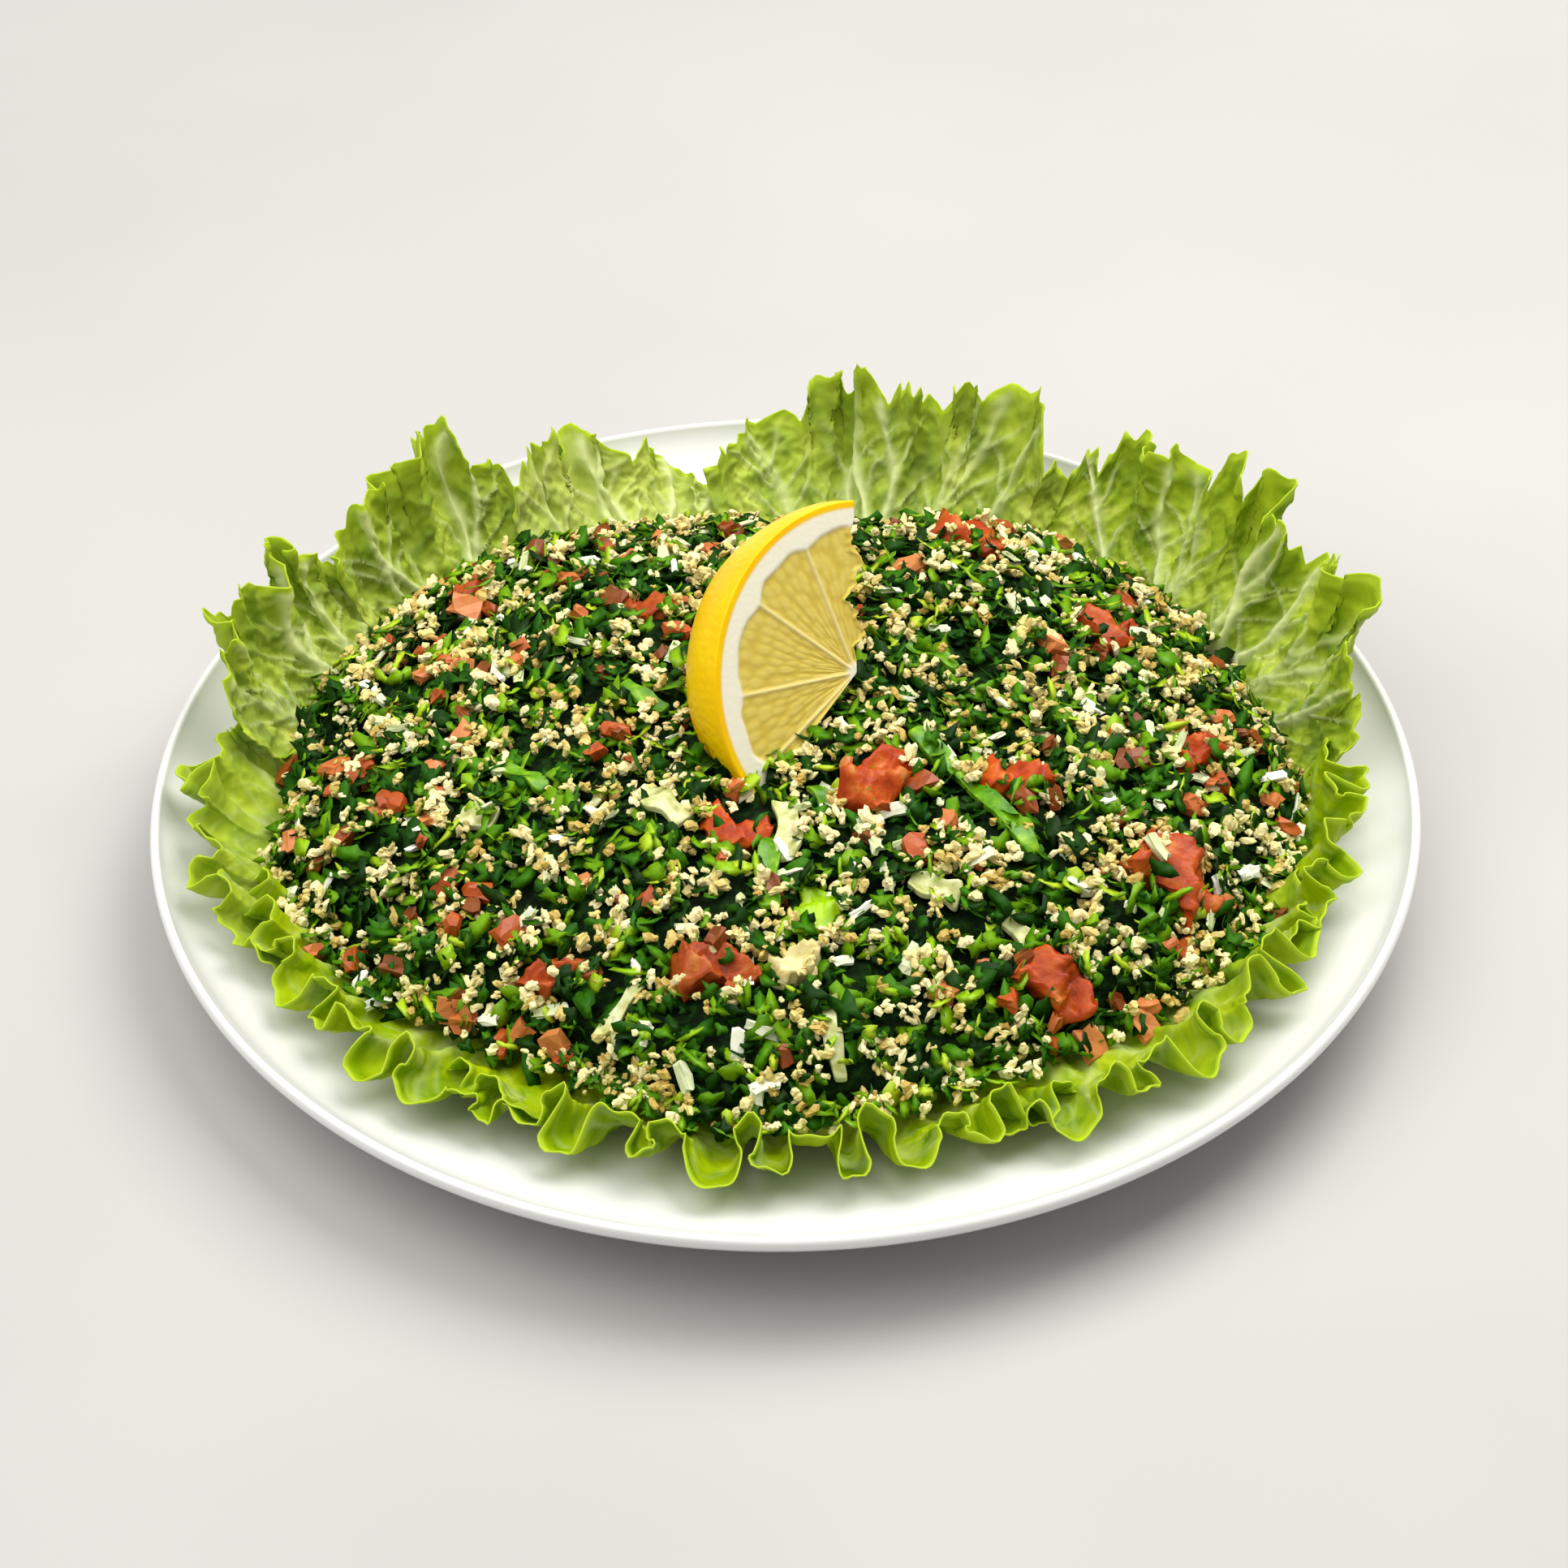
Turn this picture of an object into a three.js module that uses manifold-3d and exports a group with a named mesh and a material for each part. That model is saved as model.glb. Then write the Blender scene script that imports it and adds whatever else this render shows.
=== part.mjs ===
// Tabbouleh salad on its plate: a porcelain plate, a ring of frilled lettuce leaves lying on it,
// a low heap of tabbouleh on the leaves, the larger tomato pieces that lie in the heap's surface, and a lemon
// wedge pressed into the top. Millimetres, +Z up, origin at the centre of the plate's foot on the table.
import * as THREE from "three";
import { mergeVertices } from "three/addons/utils/BufferGeometryUtils.js";
import Module from "manifold-3d";

const wasm = await Module();
wasm.setup();

// Driving dimensions
const PLATE_RADIUS = 120;
const PLATE_HEIGHT = 20;
const PLATE_FLOOR = 5; // height of the eating surface in the middle
const FLOOR_RADIUS = 68; // the flat middle ends here
const WALL_TOP_RADIUS = 112; // the sloping inside turns up to the lip here
const WALL_TOP_HEIGHT = 14;
const FOOT_RADIUS = 68;
const GAP = 0.35; // clearance kept between pieces that touch
const FACE_TOLERANCE = 0.15; // how far a cut surface may move when its faces are merged

const HEAP_CROWN = 37; // top of the heap above the table
const HEAP_EDGE = 14; // height at which the heap's edge rests on the leaves
const HEAP_MEAN_RADIUS = 90.5;

const LEAF_THICKNESS = 1.2;
const LAYER_STEP = 1.7; // lift of a leaf that overlaps its neighbours
const LEAF_ROOT = 0.84; // where a leaf's cut end lies under the heap, as a share of the heap's radius
const LEMON_RADIUS = 32;

const degrees = THREE.MathUtils.degToRad;

// ---------- solids ----------

// A closed three.js geometry as a solid that can be joined and cut.
function solidOf(geometry) {
  const bare = new THREE.BufferGeometry().setAttribute("position", geometry.getAttribute("position"));
  if (geometry.index) bare.setIndex(geometry.index);
  const merged = mergeVertices(bare, 1e-3);
  const mesh = new wasm.Mesh({
    numProp: 3,
    vertProperties: new Float32Array(merged.attributes.position.array),
    triVerts: new Uint32Array(merged.index.array),
  });
  return new wasm.Manifold(mesh);
}

// The largest connected piece of a solid, without its needless small faces, as a three.js geometry.
function geometryOf(solid) {
  const largest = solid.decompose().reduce((a, b) => (a.volume() > b.volume() ? a : b)).simplify(FACE_TOLERANCE);
  const mesh = largest.getMesh();
  return new THREE.BufferGeometry()
    .setAttribute("position", new THREE.BufferAttribute(new Float32Array(mesh.vertProperties), 3))
    .setIndex(new THREE.BufferAttribute(new Uint32Array(mesh.triVerts), 1));
}

// A slow unevenness of about -2 to 2, the same wherever it is asked for.
function wobble(x, y) {
  return (
    Math.sin(0.085 * x + 1.3) * Math.cos(0.1 * y + 0.4) +
    0.6 * Math.sin(0.19 * x - 0.15 * y + 2.1) +
    0.4 * Math.cos(0.27 * x + 0.23 * y)
  );
}

// ---------- plate ----------

// Height of the plate's eating surface at a radius.
function plateTop(radius) {
  const climb = Math.max(0, radius - FLOOR_RADIUS) / (WALL_TOP_RADIUS - FLOOR_RADIUS);
  return PLATE_FLOOR + (WALL_TOP_HEIGHT - PLATE_FLOOR) * climb ** 1.7;
}

function plateGeometry() {
  const outline = new THREE.Path();
  outline.moveTo(0, 1.6);
  outline.lineTo(FOOT_RADIUS - 5, 1.6);
  outline.lineTo(FOOT_RADIUS - 4, 0);
  outline.lineTo(FOOT_RADIUS, 0);
  outline.lineTo(FOOT_RADIUS + 2, 2.4);
  outline.quadraticCurveTo(98, 4.6, 114, 13.2);
  outline.quadraticCurveTo(119.2, 16.2, 119.9, 18.2);
  outline.quadraticCurveTo(120.1, PLATE_HEIGHT, 118.4, PLATE_HEIGHT);
  outline.quadraticCurveTo(117, 16.2, WALL_TOP_RADIUS, WALL_TOP_HEIGHT);
  const profile = outline.getPoints(3);
  const steps = 5;
  for (let i = 1; i <= steps; i++) {
    const radius = THREE.MathUtils.lerp(WALL_TOP_RADIUS, FLOOR_RADIUS, i / steps);
    profile.push(new THREE.Vector2(radius, plateTop(radius)));
  }
  profile.push(new THREE.Vector2(0, PLATE_FLOOR));
  return new THREE.LatheGeometry(profile, 40).rotateX(Math.PI / 2);
}

// ---------- lettuce ----------

// The heap's uneven outline: broader left and right, with full back corners and drawn-in front ones.
function heapRadius(azimuth) {
  const corners = Math.sin(azimuth) * Math.sin(2 * azimuth) ** 2;
  const bumps = 0.8 * Math.sin(7 * azimuth + 1) + 0.7 * Math.sin(11 * azimuth + 2.4);
  return HEAP_MEAN_RADIUS + 6 * Math.cos(2 * azimuth) + 9 * corners + bumps;
}

// Each leaf fans out from under the heap. azimuth and half are its middle and half width, in degrees round the
// plate; bend is the radius at which it turns up; rim and height place its frilled margin, and lean is how much
// higher its left side stands; waves counts its ruffles, of height ruffle; layer lifts it clear of the
// neighbours that it overlaps.
const LEAVES = [
  { name: "lettuce_back_centre", azimuth: 77, half: 22, bend: 100, rim: 109, height: 37, lean: -0.2, waves: 5, ruffle: 4, layer: 0 },
  { name: "lettuce_back_right", azimuth: 28, half: 29, bend: 106, rim: 113, height: 41, lean: 0, waves: 6, ruffle: 4, layer: 1 },
  { name: "lettuce_back_small", azimuth: 109, half: 15, bend: 99, rim: 108, height: 25, lean: 0.6, waves: 3, ruffle: 3.2, layer: 1 },
  { name: "lettuce_back_left", azimuth: 135, half: 13, bend: 102, rim: 109, height: 40, lean: 0, waves: 3.5, ruffle: 3.8, layer: 0 },
  { name: "lettuce_left_back", azimuth: 158, half: 16, bend: 106, rim: 111, height: 38, lean: 0.15, waves: 3.5, ruffle: 3.8, layer: 1 },
  { name: "lettuce_left", azimuth: 186, half: 22, bend: 102, rim: 110, height: 24, lean: 0, waves: 6, ruffle: 3.6, layer: 0 },
  { name: "lettuce_front_left", azimuth: 217, half: 27, bend: 97, rim: 105, height: 21, lean: 0, waves: 8, ruffle: 5.2, layer: 1 },
  { name: "lettuce_front", azimuth: 267, half: 38, bend: 90, rim: 99, height: 21.5, lean: 0, waves: 11, ruffle: 6, layer: 0 },
  { name: "lettuce_front_right", azimuth: 318, half: 27, bend: 97, rim: 106, height: 22, lean: 0, waves: 8, ruffle: 5.8, layer: 1 },
  { name: "lettuce_right", azimuth: 351, half: 22, bend: 100, rim: 106, height: 24, lean: 0, waves: 6.5, ruffle: 4.4, layer: 0 },
];

// A point of a leaf's middle sheet: across runs from -1 to 1 over its width, along from 0 at its cut end to 1.
function leafPoint(leaf, across, along) {
  const swell = 0.88 + 0.12 * along;
  const middle = degrees(leaf.azimuth);
  const half = degrees(leaf.half);
  const reach = along * (1 - 0.33 * Math.abs(across) ** 4);

  const drift = 0.8 * Math.sin(0.62 * leaf.waves * Math.PI * across + 2 * leaf.azimuth);
  const phase = leaf.waves * Math.PI * across + leaf.azimuth + drift;
  const uneven =
    0.78 +
    0.3 * Math.sin(1.37 * leaf.waves * across + leaf.azimuth) +
    0.16 * Math.sin(2.9 * leaf.waves * across + 2 * leaf.azimuth);
  const ruffle = leaf.ruffle * uneven * reach ** 1.8 * (1 - 0.6 * across ** 6);
  const pitch = half / (leaf.waves * Math.PI);
  const overhang = (-0.9 * Math.sin(2 * phase) + 0.5 * Math.sin(0.7 * phase + 2 * leaf.azimuth)) * pitch * reach ** 3;
  const azimuth = middle + half * swell * across + overhang;

  const root = LEAF_ROOT * heapRadius(azimuth);
  const rise = 1 - reach;
  const top = leaf.height * (1 + leaf.lean * across);
  const rootHeight = plateTop(root) + 1.2;
  const bendHeight = plateTop(leaf.bend) - 1;
  const radius = rise ** 2 * root + 2 * rise * reach * leaf.bend + reach ** 2 * leaf.rim;
  const height = rise ** 2 * rootHeight + 2 * rise * reach * bendHeight + reach ** 2 * top;
  const outward = new THREE.Vector2(
    2 * rise * (leaf.bend - root) + 2 * reach * (leaf.rim - leaf.bend),
    2 * rise * (bendHeight - rootHeight) + 2 * reach * (top - bendHeight),
  ).normalize();

  const offset = ruffle * Math.sin(phase) + LAYER_STEP * leaf.layer;
  const foldedRadius = Math.min(radius - outward.y * offset, PLATE_RADIUS - 3);
  const lowest = plateTop(foldedRadius) + GAP + 0.8 * LEAF_THICKNESS + LAYER_STEP * leaf.layer * (1 - reach);
  const above = height + outward.x * offset - lowest;
  const foldedHeight = lowest + 0.5 * (above + Math.hypot(above, 1));
  return new THREE.Vector3(
    foldedRadius * Math.cos(azimuth),
    foldedRadius * Math.sin(azimuth),
    foldedHeight,
  );
}

// A leaf as a thin bent slab: the sides of a flat box are moved to either side of its middle sheet, and spare
// makes it larger all round.
function leafGeometry(leaf, spare) {
  const slab = new THREE.BoxGeometry(2, 1, 1, Math.round(3.7 * leaf.waves), 4, 1);
  const position = slab.getAttribute("position");
  const step = 0.01;
  for (let i = 0; i < position.count; i++) {
    const across = position.getX(i);
    const along = position.getY(i) + 0.5;
    const point = leafPoint(leaf, across, along);
    const right = leafPoint(leaf, across + step, along);
    const sideways = right.sub(leafPoint(leaf, across - step, along)).normalize();
    const beyond = leafPoint(leaf, across, along + step);
    const outward = beyond.sub(leafPoint(leaf, across, Math.max(0, along - step))).normalize();
    const normal = sideways.clone().cross(outward).normalize();
    point.addScaledVector(normal, position.getZ(i) * (LEAF_THICKNESS + 2 * spare));
    point.addScaledVector(sideways, Math.trunc(across) * spare);
    point.addScaledVector(outward, (Math.trunc(along) - Math.trunc(1 - along)) * spare);
    position.setXYZ(i, point.x, point.y, point.z);
  }
  return slab;
}

// ---------- heap ----------

function heapTop(x, y) {
  const share = Math.min(1, Math.hypot(x, y) / heapRadius(Math.atan2(y, x)));
  const dome = (1 - share ** 2.4) ** 0.65;
  return HEAP_EDGE + (HEAP_CROWN - HEAP_EDGE) * dome + 1.1 * wobble(x, y) * (1 - share ** 4);
}

// The heap sits on the plate's floor in the middle and on the leaves round its edge.
function heapBottom(x, y) {
  const radius = Math.hypot(x, y);
  const share = Math.min(1, radius / heapRadius(Math.atan2(y, x)));
  const overLeaves = THREE.MathUtils.smoothstep(share, 0.72, 0.81);
  const spare = HEAP_EDGE - plateTop(radius) - GAP;
  const lift = THREE.MathUtils.lerp(5.4, spare, THREE.MathUtils.smoothstep(share, 0.81, 1));
  return plateTop(radius) + GAP + overLeaves * lift;
}

// A ball is moved onto the heap: its upper half becomes the top, its lower half the underside.
function heapGeometry() {
  const ball = new THREE.SphereGeometry(1, 34, 11).rotateX(Math.PI / 2);
  const position = ball.getAttribute("position");
  for (let i = 0; i < position.count; i++) {
    const azimuth = Math.atan2(position.getY(i), position.getX(i));
    const share = Math.hypot(position.getX(i), position.getY(i));
    const radius = share * heapRadius(azimuth);
    const x = radius * Math.cos(azimuth);
    const y = radius * Math.sin(azimuth);
    const upper = position.getZ(i) >= 0;
    position.setXYZ(i, x, y, upper ? heapTop(x, y) : heapBottom(x, y));
  }
  return ball;
}

// ---------- lemon ----------

// Half a lemon cut across its middle, its cut face up at height 0 and its tip down, then a third of that round
// its axis.
function lemonWedgeSolid() {
  const tip = 1.24 * LEMON_RADIUS;
  const outline = new THREE.Path();
  outline.moveTo(0, -tip);
  outline.quadraticCurveTo(4.5, -tip, 5.5, -tip + 3.5);
  outline.bezierCurveTo(9, -0.98 * LEMON_RADIUS, LEMON_RADIUS, -0.72 * LEMON_RADIUS, LEMON_RADIUS, 0);
  outline.lineTo(0, 0);
  const half = new THREE.LatheGeometry(outline.getPoints(5), 36).rotateX(Math.PI / 2);
  const sector = new THREE.Shape();
  const reach = 2 * LEMON_RADIUS;
  sector.moveTo(0, 0);
  sector.absarc(0, 0, reach, degrees(12), degrees(147), false);
  sector.lineTo(0, 0);
  const block = new THREE.ExtrudeGeometry(sector, { depth: 2 * tip, bevelEnabled: false, curveSegments: 8 });
  return solidOf(half).intersect(solidOf(block.translate(0, 0, -1.5 * tip)));
}

// The wedge's place: its cut face looks to the front right and up.
function lemonPlace() {
  const turn = new THREE.Group();
  turn.position.set(13.8, 1.5, 43.6);
  const faceNormal = new THREE.Vector3(0.58, -0.68, 0.45).normalize();
  const upFace = new THREE.Vector3(0.17, 0.64, 0.75);
  const xAxis = upFace.sub(faceNormal.clone().multiplyScalar(upFace.dot(faceNormal))).normalize();
  const yAxis = faceNormal.clone().cross(xAxis);
  turn.setRotationFromMatrix(new THREE.Matrix4().makeBasis(xAxis, yAxis, faceNormal));
  turn.updateMatrixWorld(true);
  return turn;
}

// ---------- tomato and garnish ----------

// The larger pieces of tomato in the heap's surface: their place, their length and their turn about the upright.
const TOMATO_PIECES = [
  { x: 70, y: -35, length: 18, turn: -40 },
  { x: 17, y: -21, length: 15, turn: 70 },
  { x: 38, y: 66, length: 15, turn: -5 },
  { x: 63, y: 31, length: 12, turn: 10 },
  { x: 42, y: -19, length: 12, turn: -25 },
  { x: 78, y: -4, length: 11, turn: 20 },
  { x: 47, y: -60, length: 14, turn: -50 },
  { x: -13, y: -62, length: 13, turn: 15 },
  { x: -42, y: -57, length: 10, turn: 60 },
  { x: -9, y: -31, length: 12, turn: 0 },
  { x: -26, y: 34, length: 10, turn: -20 },
  { x: -62, y: 50, length: 9, turn: 35 },
];

// Two other large pieces lie in the front of it: a flat piece of bright green leaf and a chunk of onion.
const GARNISH_PIECES = [
  { name: "green_leaf_piece", slot: "lettuce", x: 4.5, y: -50, length: 12, turn: 75, flat: 0.4 },
  { name: "onion_piece", slot: "onion", x: 1.5, y: -62, length: 9, turn: 10, flat: 1 },
];

// A hand-chopped chunk: a block with its corners pulled about, on its tapering side.
function chunkGeometry(piece, index) {
  const chunk = new THREE.BoxGeometry(1, 0.62, 0.5, 2, 2, 1);
  const position = chunk.getAttribute("position");
  for (let i = 0; i < position.count; i++) {
    const [x, y, z] = [position.getX(i), position.getY(i), position.getZ(i)];
    const taper = 1 - 0.35 * x;
    const bow = 0.16 * Math.cos(3 * x + index);
    const pulled = 0.1 * Math.sin(9 * x + 7 * y + 5 * z + 2.3 * index);
    position.setXYZ(i, x + 0.6 * pulled, y * taper + bow, z * taper + pulled);
  }
  return chunk.center().scale(piece.length, piece.length, piece.length * (piece.flat ?? 1));
}

// A chunk in its place, leaning with the heap's surface, and grown by a share for its hollow.
function chunkSolid(piece, index, grown) {
  const { x, y } = piece;
  const slope = new THREE.Vector3(
    heapTop(x - 3, y) - heapTop(x + 3, y),
    heapTop(x, y - 3) - heapTop(x, y + 3),
    6,
  ).normalize();
  const lean = new THREE.Quaternion().setFromUnitVectors(new THREE.Vector3(0, 0, 1), slope);
  const chunk = chunkGeometry(piece, index).scale(grown, grown, grown);
  chunk.rotateY(degrees(12 * Math.sin(index))).rotateZ(degrees(piece.turn)).applyQuaternion(lean);
  return solidOf(chunk.translate(x, y, heapTop(x, y) - 0.06 * piece.length));
}

// ---------- the dish ----------

function material(color, roughness) {
  return new THREE.MeshStandardMaterial({ color, roughness, metalness: 0 });
}

const dish = new THREE.Group();

function addPiece(name, solidOrGeometry, look, parent = dish) {
  const geometry = solidOrGeometry.isBufferGeometry ? solidOrGeometry : geometryOf(solidOrGeometry);
  const mesh = new THREE.Mesh(geometry, look);
  mesh.name = name;
  parent.add(mesh);
}

addPiece("plate", plateGeometry(), material(0xeeeee8, 0.25));

// A leaf gives way to the leaves laid before it.
const lettuce = material(0xa9c83a, 0.5);
const laid = [];
for (const leaf of LEAVES) {
  const solid = laid.reduce((left, other) => left.subtract(other), solidOf(leafGeometry(leaf, 0)));
  addPiece(leaf.name, solid, lettuce);
  laid.push(solidOf(leafGeometry(leaf, GAP)));
}

// The lemon and the tomato lie in hollows of the heap, and the heap stops at the leaves.
const lemonGroup = lemonPlace();
const lemonSolid = lemonWedgeSolid();
const lemonHollow = new THREE.Matrix4().makeScale(1.03, 1.03, 1.03).premultiply(lemonGroup.matrixWorld);
let heap = solidOf(heapGeometry()).subtract(lemonSolid.transform(lemonHollow.toArray()));
for (const leaf of laid) heap = heap.subtract(leaf);
const tomato = material(0xc8502a, 0.4);
TOMATO_PIECES.forEach((piece, index) => {
  heap = heap.subtract(chunkSolid(piece, index, 1.13));
  addPiece(`tomato_${index + 1}`, chunkSolid(piece, index, 1), tomato);
});
const garnish = { lettuce: material(0xb4d61a, 0.5), onion: material(0xe6dcb0, 0.5) };
GARNISH_PIECES.forEach((piece, index) => {
  heap = heap.subtract(chunkSolid(piece, index + 3, 1.15));
  addPiece(piece.name, chunkSolid(piece, index + 3, 1), garnish[piece.slot]);
});
addPiece("tabbouleh", heap, material(0x2f5a1c, 0.7));
addPiece("lemon_wedge", lemonSolid, material(0xf4c81e, 0.45), lemonGroup);
dish.add(lemonGroup);

export default dish;
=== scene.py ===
"""A tabbouleh salad on its plate: thin-lipped porcelain, frilled lettuce, a heap of chopped parsley and
bulgur with tomato, onion and spring onion, and a lemon wedge standing in the top. Lengths are in millimetres
up to the meshes, which are in metres."""

import math

import bmesh
import bpy
import numpy as np
from mathutils import Matrix, Vector


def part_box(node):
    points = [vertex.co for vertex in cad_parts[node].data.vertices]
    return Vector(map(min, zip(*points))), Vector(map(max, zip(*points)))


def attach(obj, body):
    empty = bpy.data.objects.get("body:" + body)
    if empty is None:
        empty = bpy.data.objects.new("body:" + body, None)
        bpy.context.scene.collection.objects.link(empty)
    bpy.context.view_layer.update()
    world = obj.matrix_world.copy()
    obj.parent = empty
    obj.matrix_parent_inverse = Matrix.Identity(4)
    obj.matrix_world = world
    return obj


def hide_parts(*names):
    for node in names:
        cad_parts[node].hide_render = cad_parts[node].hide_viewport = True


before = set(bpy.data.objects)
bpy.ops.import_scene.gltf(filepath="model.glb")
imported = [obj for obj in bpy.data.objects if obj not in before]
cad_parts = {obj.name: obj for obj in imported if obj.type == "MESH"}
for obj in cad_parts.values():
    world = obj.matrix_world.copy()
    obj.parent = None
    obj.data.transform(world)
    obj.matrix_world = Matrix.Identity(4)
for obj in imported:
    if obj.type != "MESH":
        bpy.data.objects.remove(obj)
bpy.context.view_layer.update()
MM = 0.001

# ---------------------------------------------------------------------------------------------------------
# The studio: one large soft light high behind the right shoulder of the plate, a weaker one in front, a pale
# table top, and a camera that looks down on the dish as a diner standing at the table does.

CAMERA_ELEVATION = math.radians(40.235)
CAMERA_ROLL = math.radians(-1.0)
CAMERA_DISTANCE = 705.0
CAMERA_TARGET = Vector((-0.1, 0.0, 17.96))
TABLE_REACH = 4000


def light_area(name, place, size, power, tint=(1.0, 1.0, 1.0)):
    """A square soft light at a place in metres, turned to the dish."""
    lamp = bpy.data.lights.new(name, "AREA")
    lamp.shape = "SQUARE"
    lamp.size = size
    lamp.energy = power
    lamp.color = tint
    lit = bpy.data.objects.new(name, lamp)
    lit.location = place
    lit.rotation_euler = Vector(place).to_track_quat("Z", "Y").to_euler()
    bpy.context.scene.collection.objects.link(lit)


def paint(red, green, blue):
    """A colour as seen on a screen, 0 to 255, as the linear colour that a shader takes."""
    shares = [value / 255 for value in (red, green, blue)]
    linear = [((s + 0.055) / 1.055) ** 2.4 if s > 0.04045 else s / 12.92 for s in shares]
    return (*linear, 1.0)


def finish_of(name, **sockets):
    """A material with one Principled shader: the material, its node tree and the shader."""
    material = bpy.data.materials.new(name)
    material.use_nodes = True
    tree = material.node_tree
    shader = tree.nodes["Principled BSDF"]
    for socket, value in sockets.items():
        shader.inputs[socket.replace("_", " ")].default_value = value
    return material, tree, shader


def value_of(tree, kind, inputs, output=0, **settings):
    """A node with its inputs linked to sockets or set to values; gives the socket of its output."""
    node = tree.nodes.new(kind)
    for setting, value in settings.items():
        setattr(node, setting, value)
    for place, value in inputs.items():
        if isinstance(value, bpy.types.NodeSocket):
            tree.links.new(value, node.inputs[place])
        else:
            node.inputs[place].default_value = value
    return node.outputs[output]


def ramp_of(tree, factor, stops):
    """Colours blended along a factor, from a list of (position, red, green, blue), the colours 0 to 255."""
    node = tree.nodes.new("ShaderNodeValToRGB")
    elements = node.color_ramp.elements
    while len(elements) < len(stops):
        elements.new(0.5)
    for element, (position, *colour) in zip(elements, stops):
        element.position = position
        element.color = paint(*colour)
    tree.links.new(factor, node.inputs[0])
    return node.outputs[0]


def noise_of(tree, scale, detail=3.0, stretch=None):
    """Soft noise fixed to the piece, of that many spots to the metre, 0 to 1."""
    place = value_of(tree, "ShaderNodeTexCoord", {}, "Object")
    if stretch:
        place = value_of(tree, "ShaderNodeMapping", {"Vector": place, "Scale": stretch})
    return value_of(tree, "ShaderNodeTexNoise", {"Vector": place, "Scale": scale, "Detail": detail}, "Fac")


def mesh_piece(name, points, faces, material, smooth=True):
    """A mesh object in metres from points in millimetres."""
    mesh = bpy.data.meshes.new(name)
    mesh.from_pydata((np.asarray(points) * MM).tolist(), [], faces)
    mesh.materials.append(material)
    mesh.polygons.foreach_set("use_smooth", [smooth] * len(mesh.polygons))
    piece = bpy.data.objects.new(name, mesh)
    bpy.context.scene.collection.objects.link(piece)
    return piece


camera = bpy.data.objects.new("camera", bpy.data.cameras.new("camera"))
camera.data.lens = 85
camera.data.sensor_width = 36
camera.data.clip_start = 0.05
look = Vector((0.0, math.cos(CAMERA_ELEVATION), -math.sin(CAMERA_ELEVATION)))
camera.matrix_world = (
    Matrix.Translation((CAMERA_TARGET - look * CAMERA_DISTANCE) * MM)
    @ Matrix.Rotation(math.pi / 2 - CAMERA_ELEVATION, 4, "X")
    @ Matrix.Rotation(CAMERA_ROLL, 4, "Z")
)
bpy.context.scene.collection.objects.link(camera)
bpy.context.scene.camera = camera

light_area("key_light", (0.35, 0.3, 0.85), 0.7, 9.5, (1.0, 0.98, 0.93))
light_area("fill_light", (-0.5, -0.1, 0.95), 1.1, 9.5, (1.0, 0.99, 0.96))
studio = bpy.data.worlds.new("studio")
studio.use_nodes = True
studio.node_tree.nodes["Background"].inputs["Color"].default_value = (1.0, 1.0, 1.0, 1.0)
studio.node_tree.nodes["Background"].inputs["Strength"].default_value = 0.38
bpy.context.scene.world = studio
bpy.context.scene.view_settings.view_transform = "Standard"

table_finish, tree, shader = finish_of("pale_table", Roughness=0.7)
cloud = noise_of(tree, 6.0)
table_tone = ramp_of(tree, cloud, [(0.3, 184, 183, 180), (0.7, 190, 189, 186)])
tree.links.new(table_tone, shader.inputs["Base Color"])
corners = [(x * TABLE_REACH, y * TABLE_REACH, 0) for x, y in ((-1, -1), (1, -1), (1, 1), (-1, 1))]
table = mesh_piece("table_top", corners, [(0, 1, 2, 3)], table_finish)

# ---------------------------------------------------------------------------------------------------------
# The plate: white porcelain turned to one profile, with a foot ring, a wide shallow well that slopes up, and
# a thin rounded lip. It is glazed all over but for the ground underside of the foot.

FLOOR_HEIGHT = 5.0
FLOOR_RADIUS = 68.0
WELL_RADIUS = 112.0
WELL_HEIGHT = 14.0
RIM_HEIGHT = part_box("plate")[1].z / MM
PLATE_RADIUS = 120.0
SPIN_STEPS = 240


def well_height(radius):
    """Height of the eating surface at a radius."""
    climb = np.clip(radius - FLOOR_RADIUS, 0, None) / (WELL_RADIUS - FLOOR_RADIUS)
    return FLOOR_HEIGHT + (WELL_HEIGHT - FLOOR_HEIGHT) * climb**1.7


def bend(start, control, end, count=10):
    """Points of a curve that leaves start and arrives at end, both aimed at control; start left out."""
    share = np.linspace(0, 1, count + 1)[1:, None]
    start, control, end = (np.array(p, float) for p in (start, control, end))
    return (1 - share) ** 2 * start + 2 * share * (1 - share) * control + share**2 * end


def turned(name, profile, steps, material):
    """A closed turned piece from an outline of (radius, height) that starts and ends on the axis."""
    inner = profile[1:-1]
    angles = np.linspace(0, 2 * np.pi, steps, endpoint=False)
    rings = np.array([[(r * np.cos(a), r * np.sin(a), z) for a in angles] for r, z in inner])
    points = [(0, 0, profile[0][1]), *rings.reshape(-1, 3), (0, 0, profile[-1][1])]
    faces = []
    last = len(points) - 1
    for k in range(steps):
        after = (k + 1) % steps
        faces.append((0, 1 + after, 1 + k))
        for ring in range(len(inner) - 1):
            low = 1 + ring * steps
            faces.append((low + k, low + after, low + steps + after, low + steps + k))
        top = 1 + (len(inner) - 1) * steps
        faces.append((last, top + k, top + after))
    return mesh_piece(name, points, faces, material)


def mixed(tree, factor, first, second):
    """Two colours mixed."""
    node = tree.nodes.new("ShaderNodeMix")
    node.data_type = "RGBA"
    for socket, value in ((0, factor), (6, first), (7, second)):
        if isinstance(value, bpy.types.NodeSocket):
            tree.links.new(value, node.inputs[socket])
        else:
            node.inputs[socket].default_value = value
    return node.outputs[2]


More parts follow.
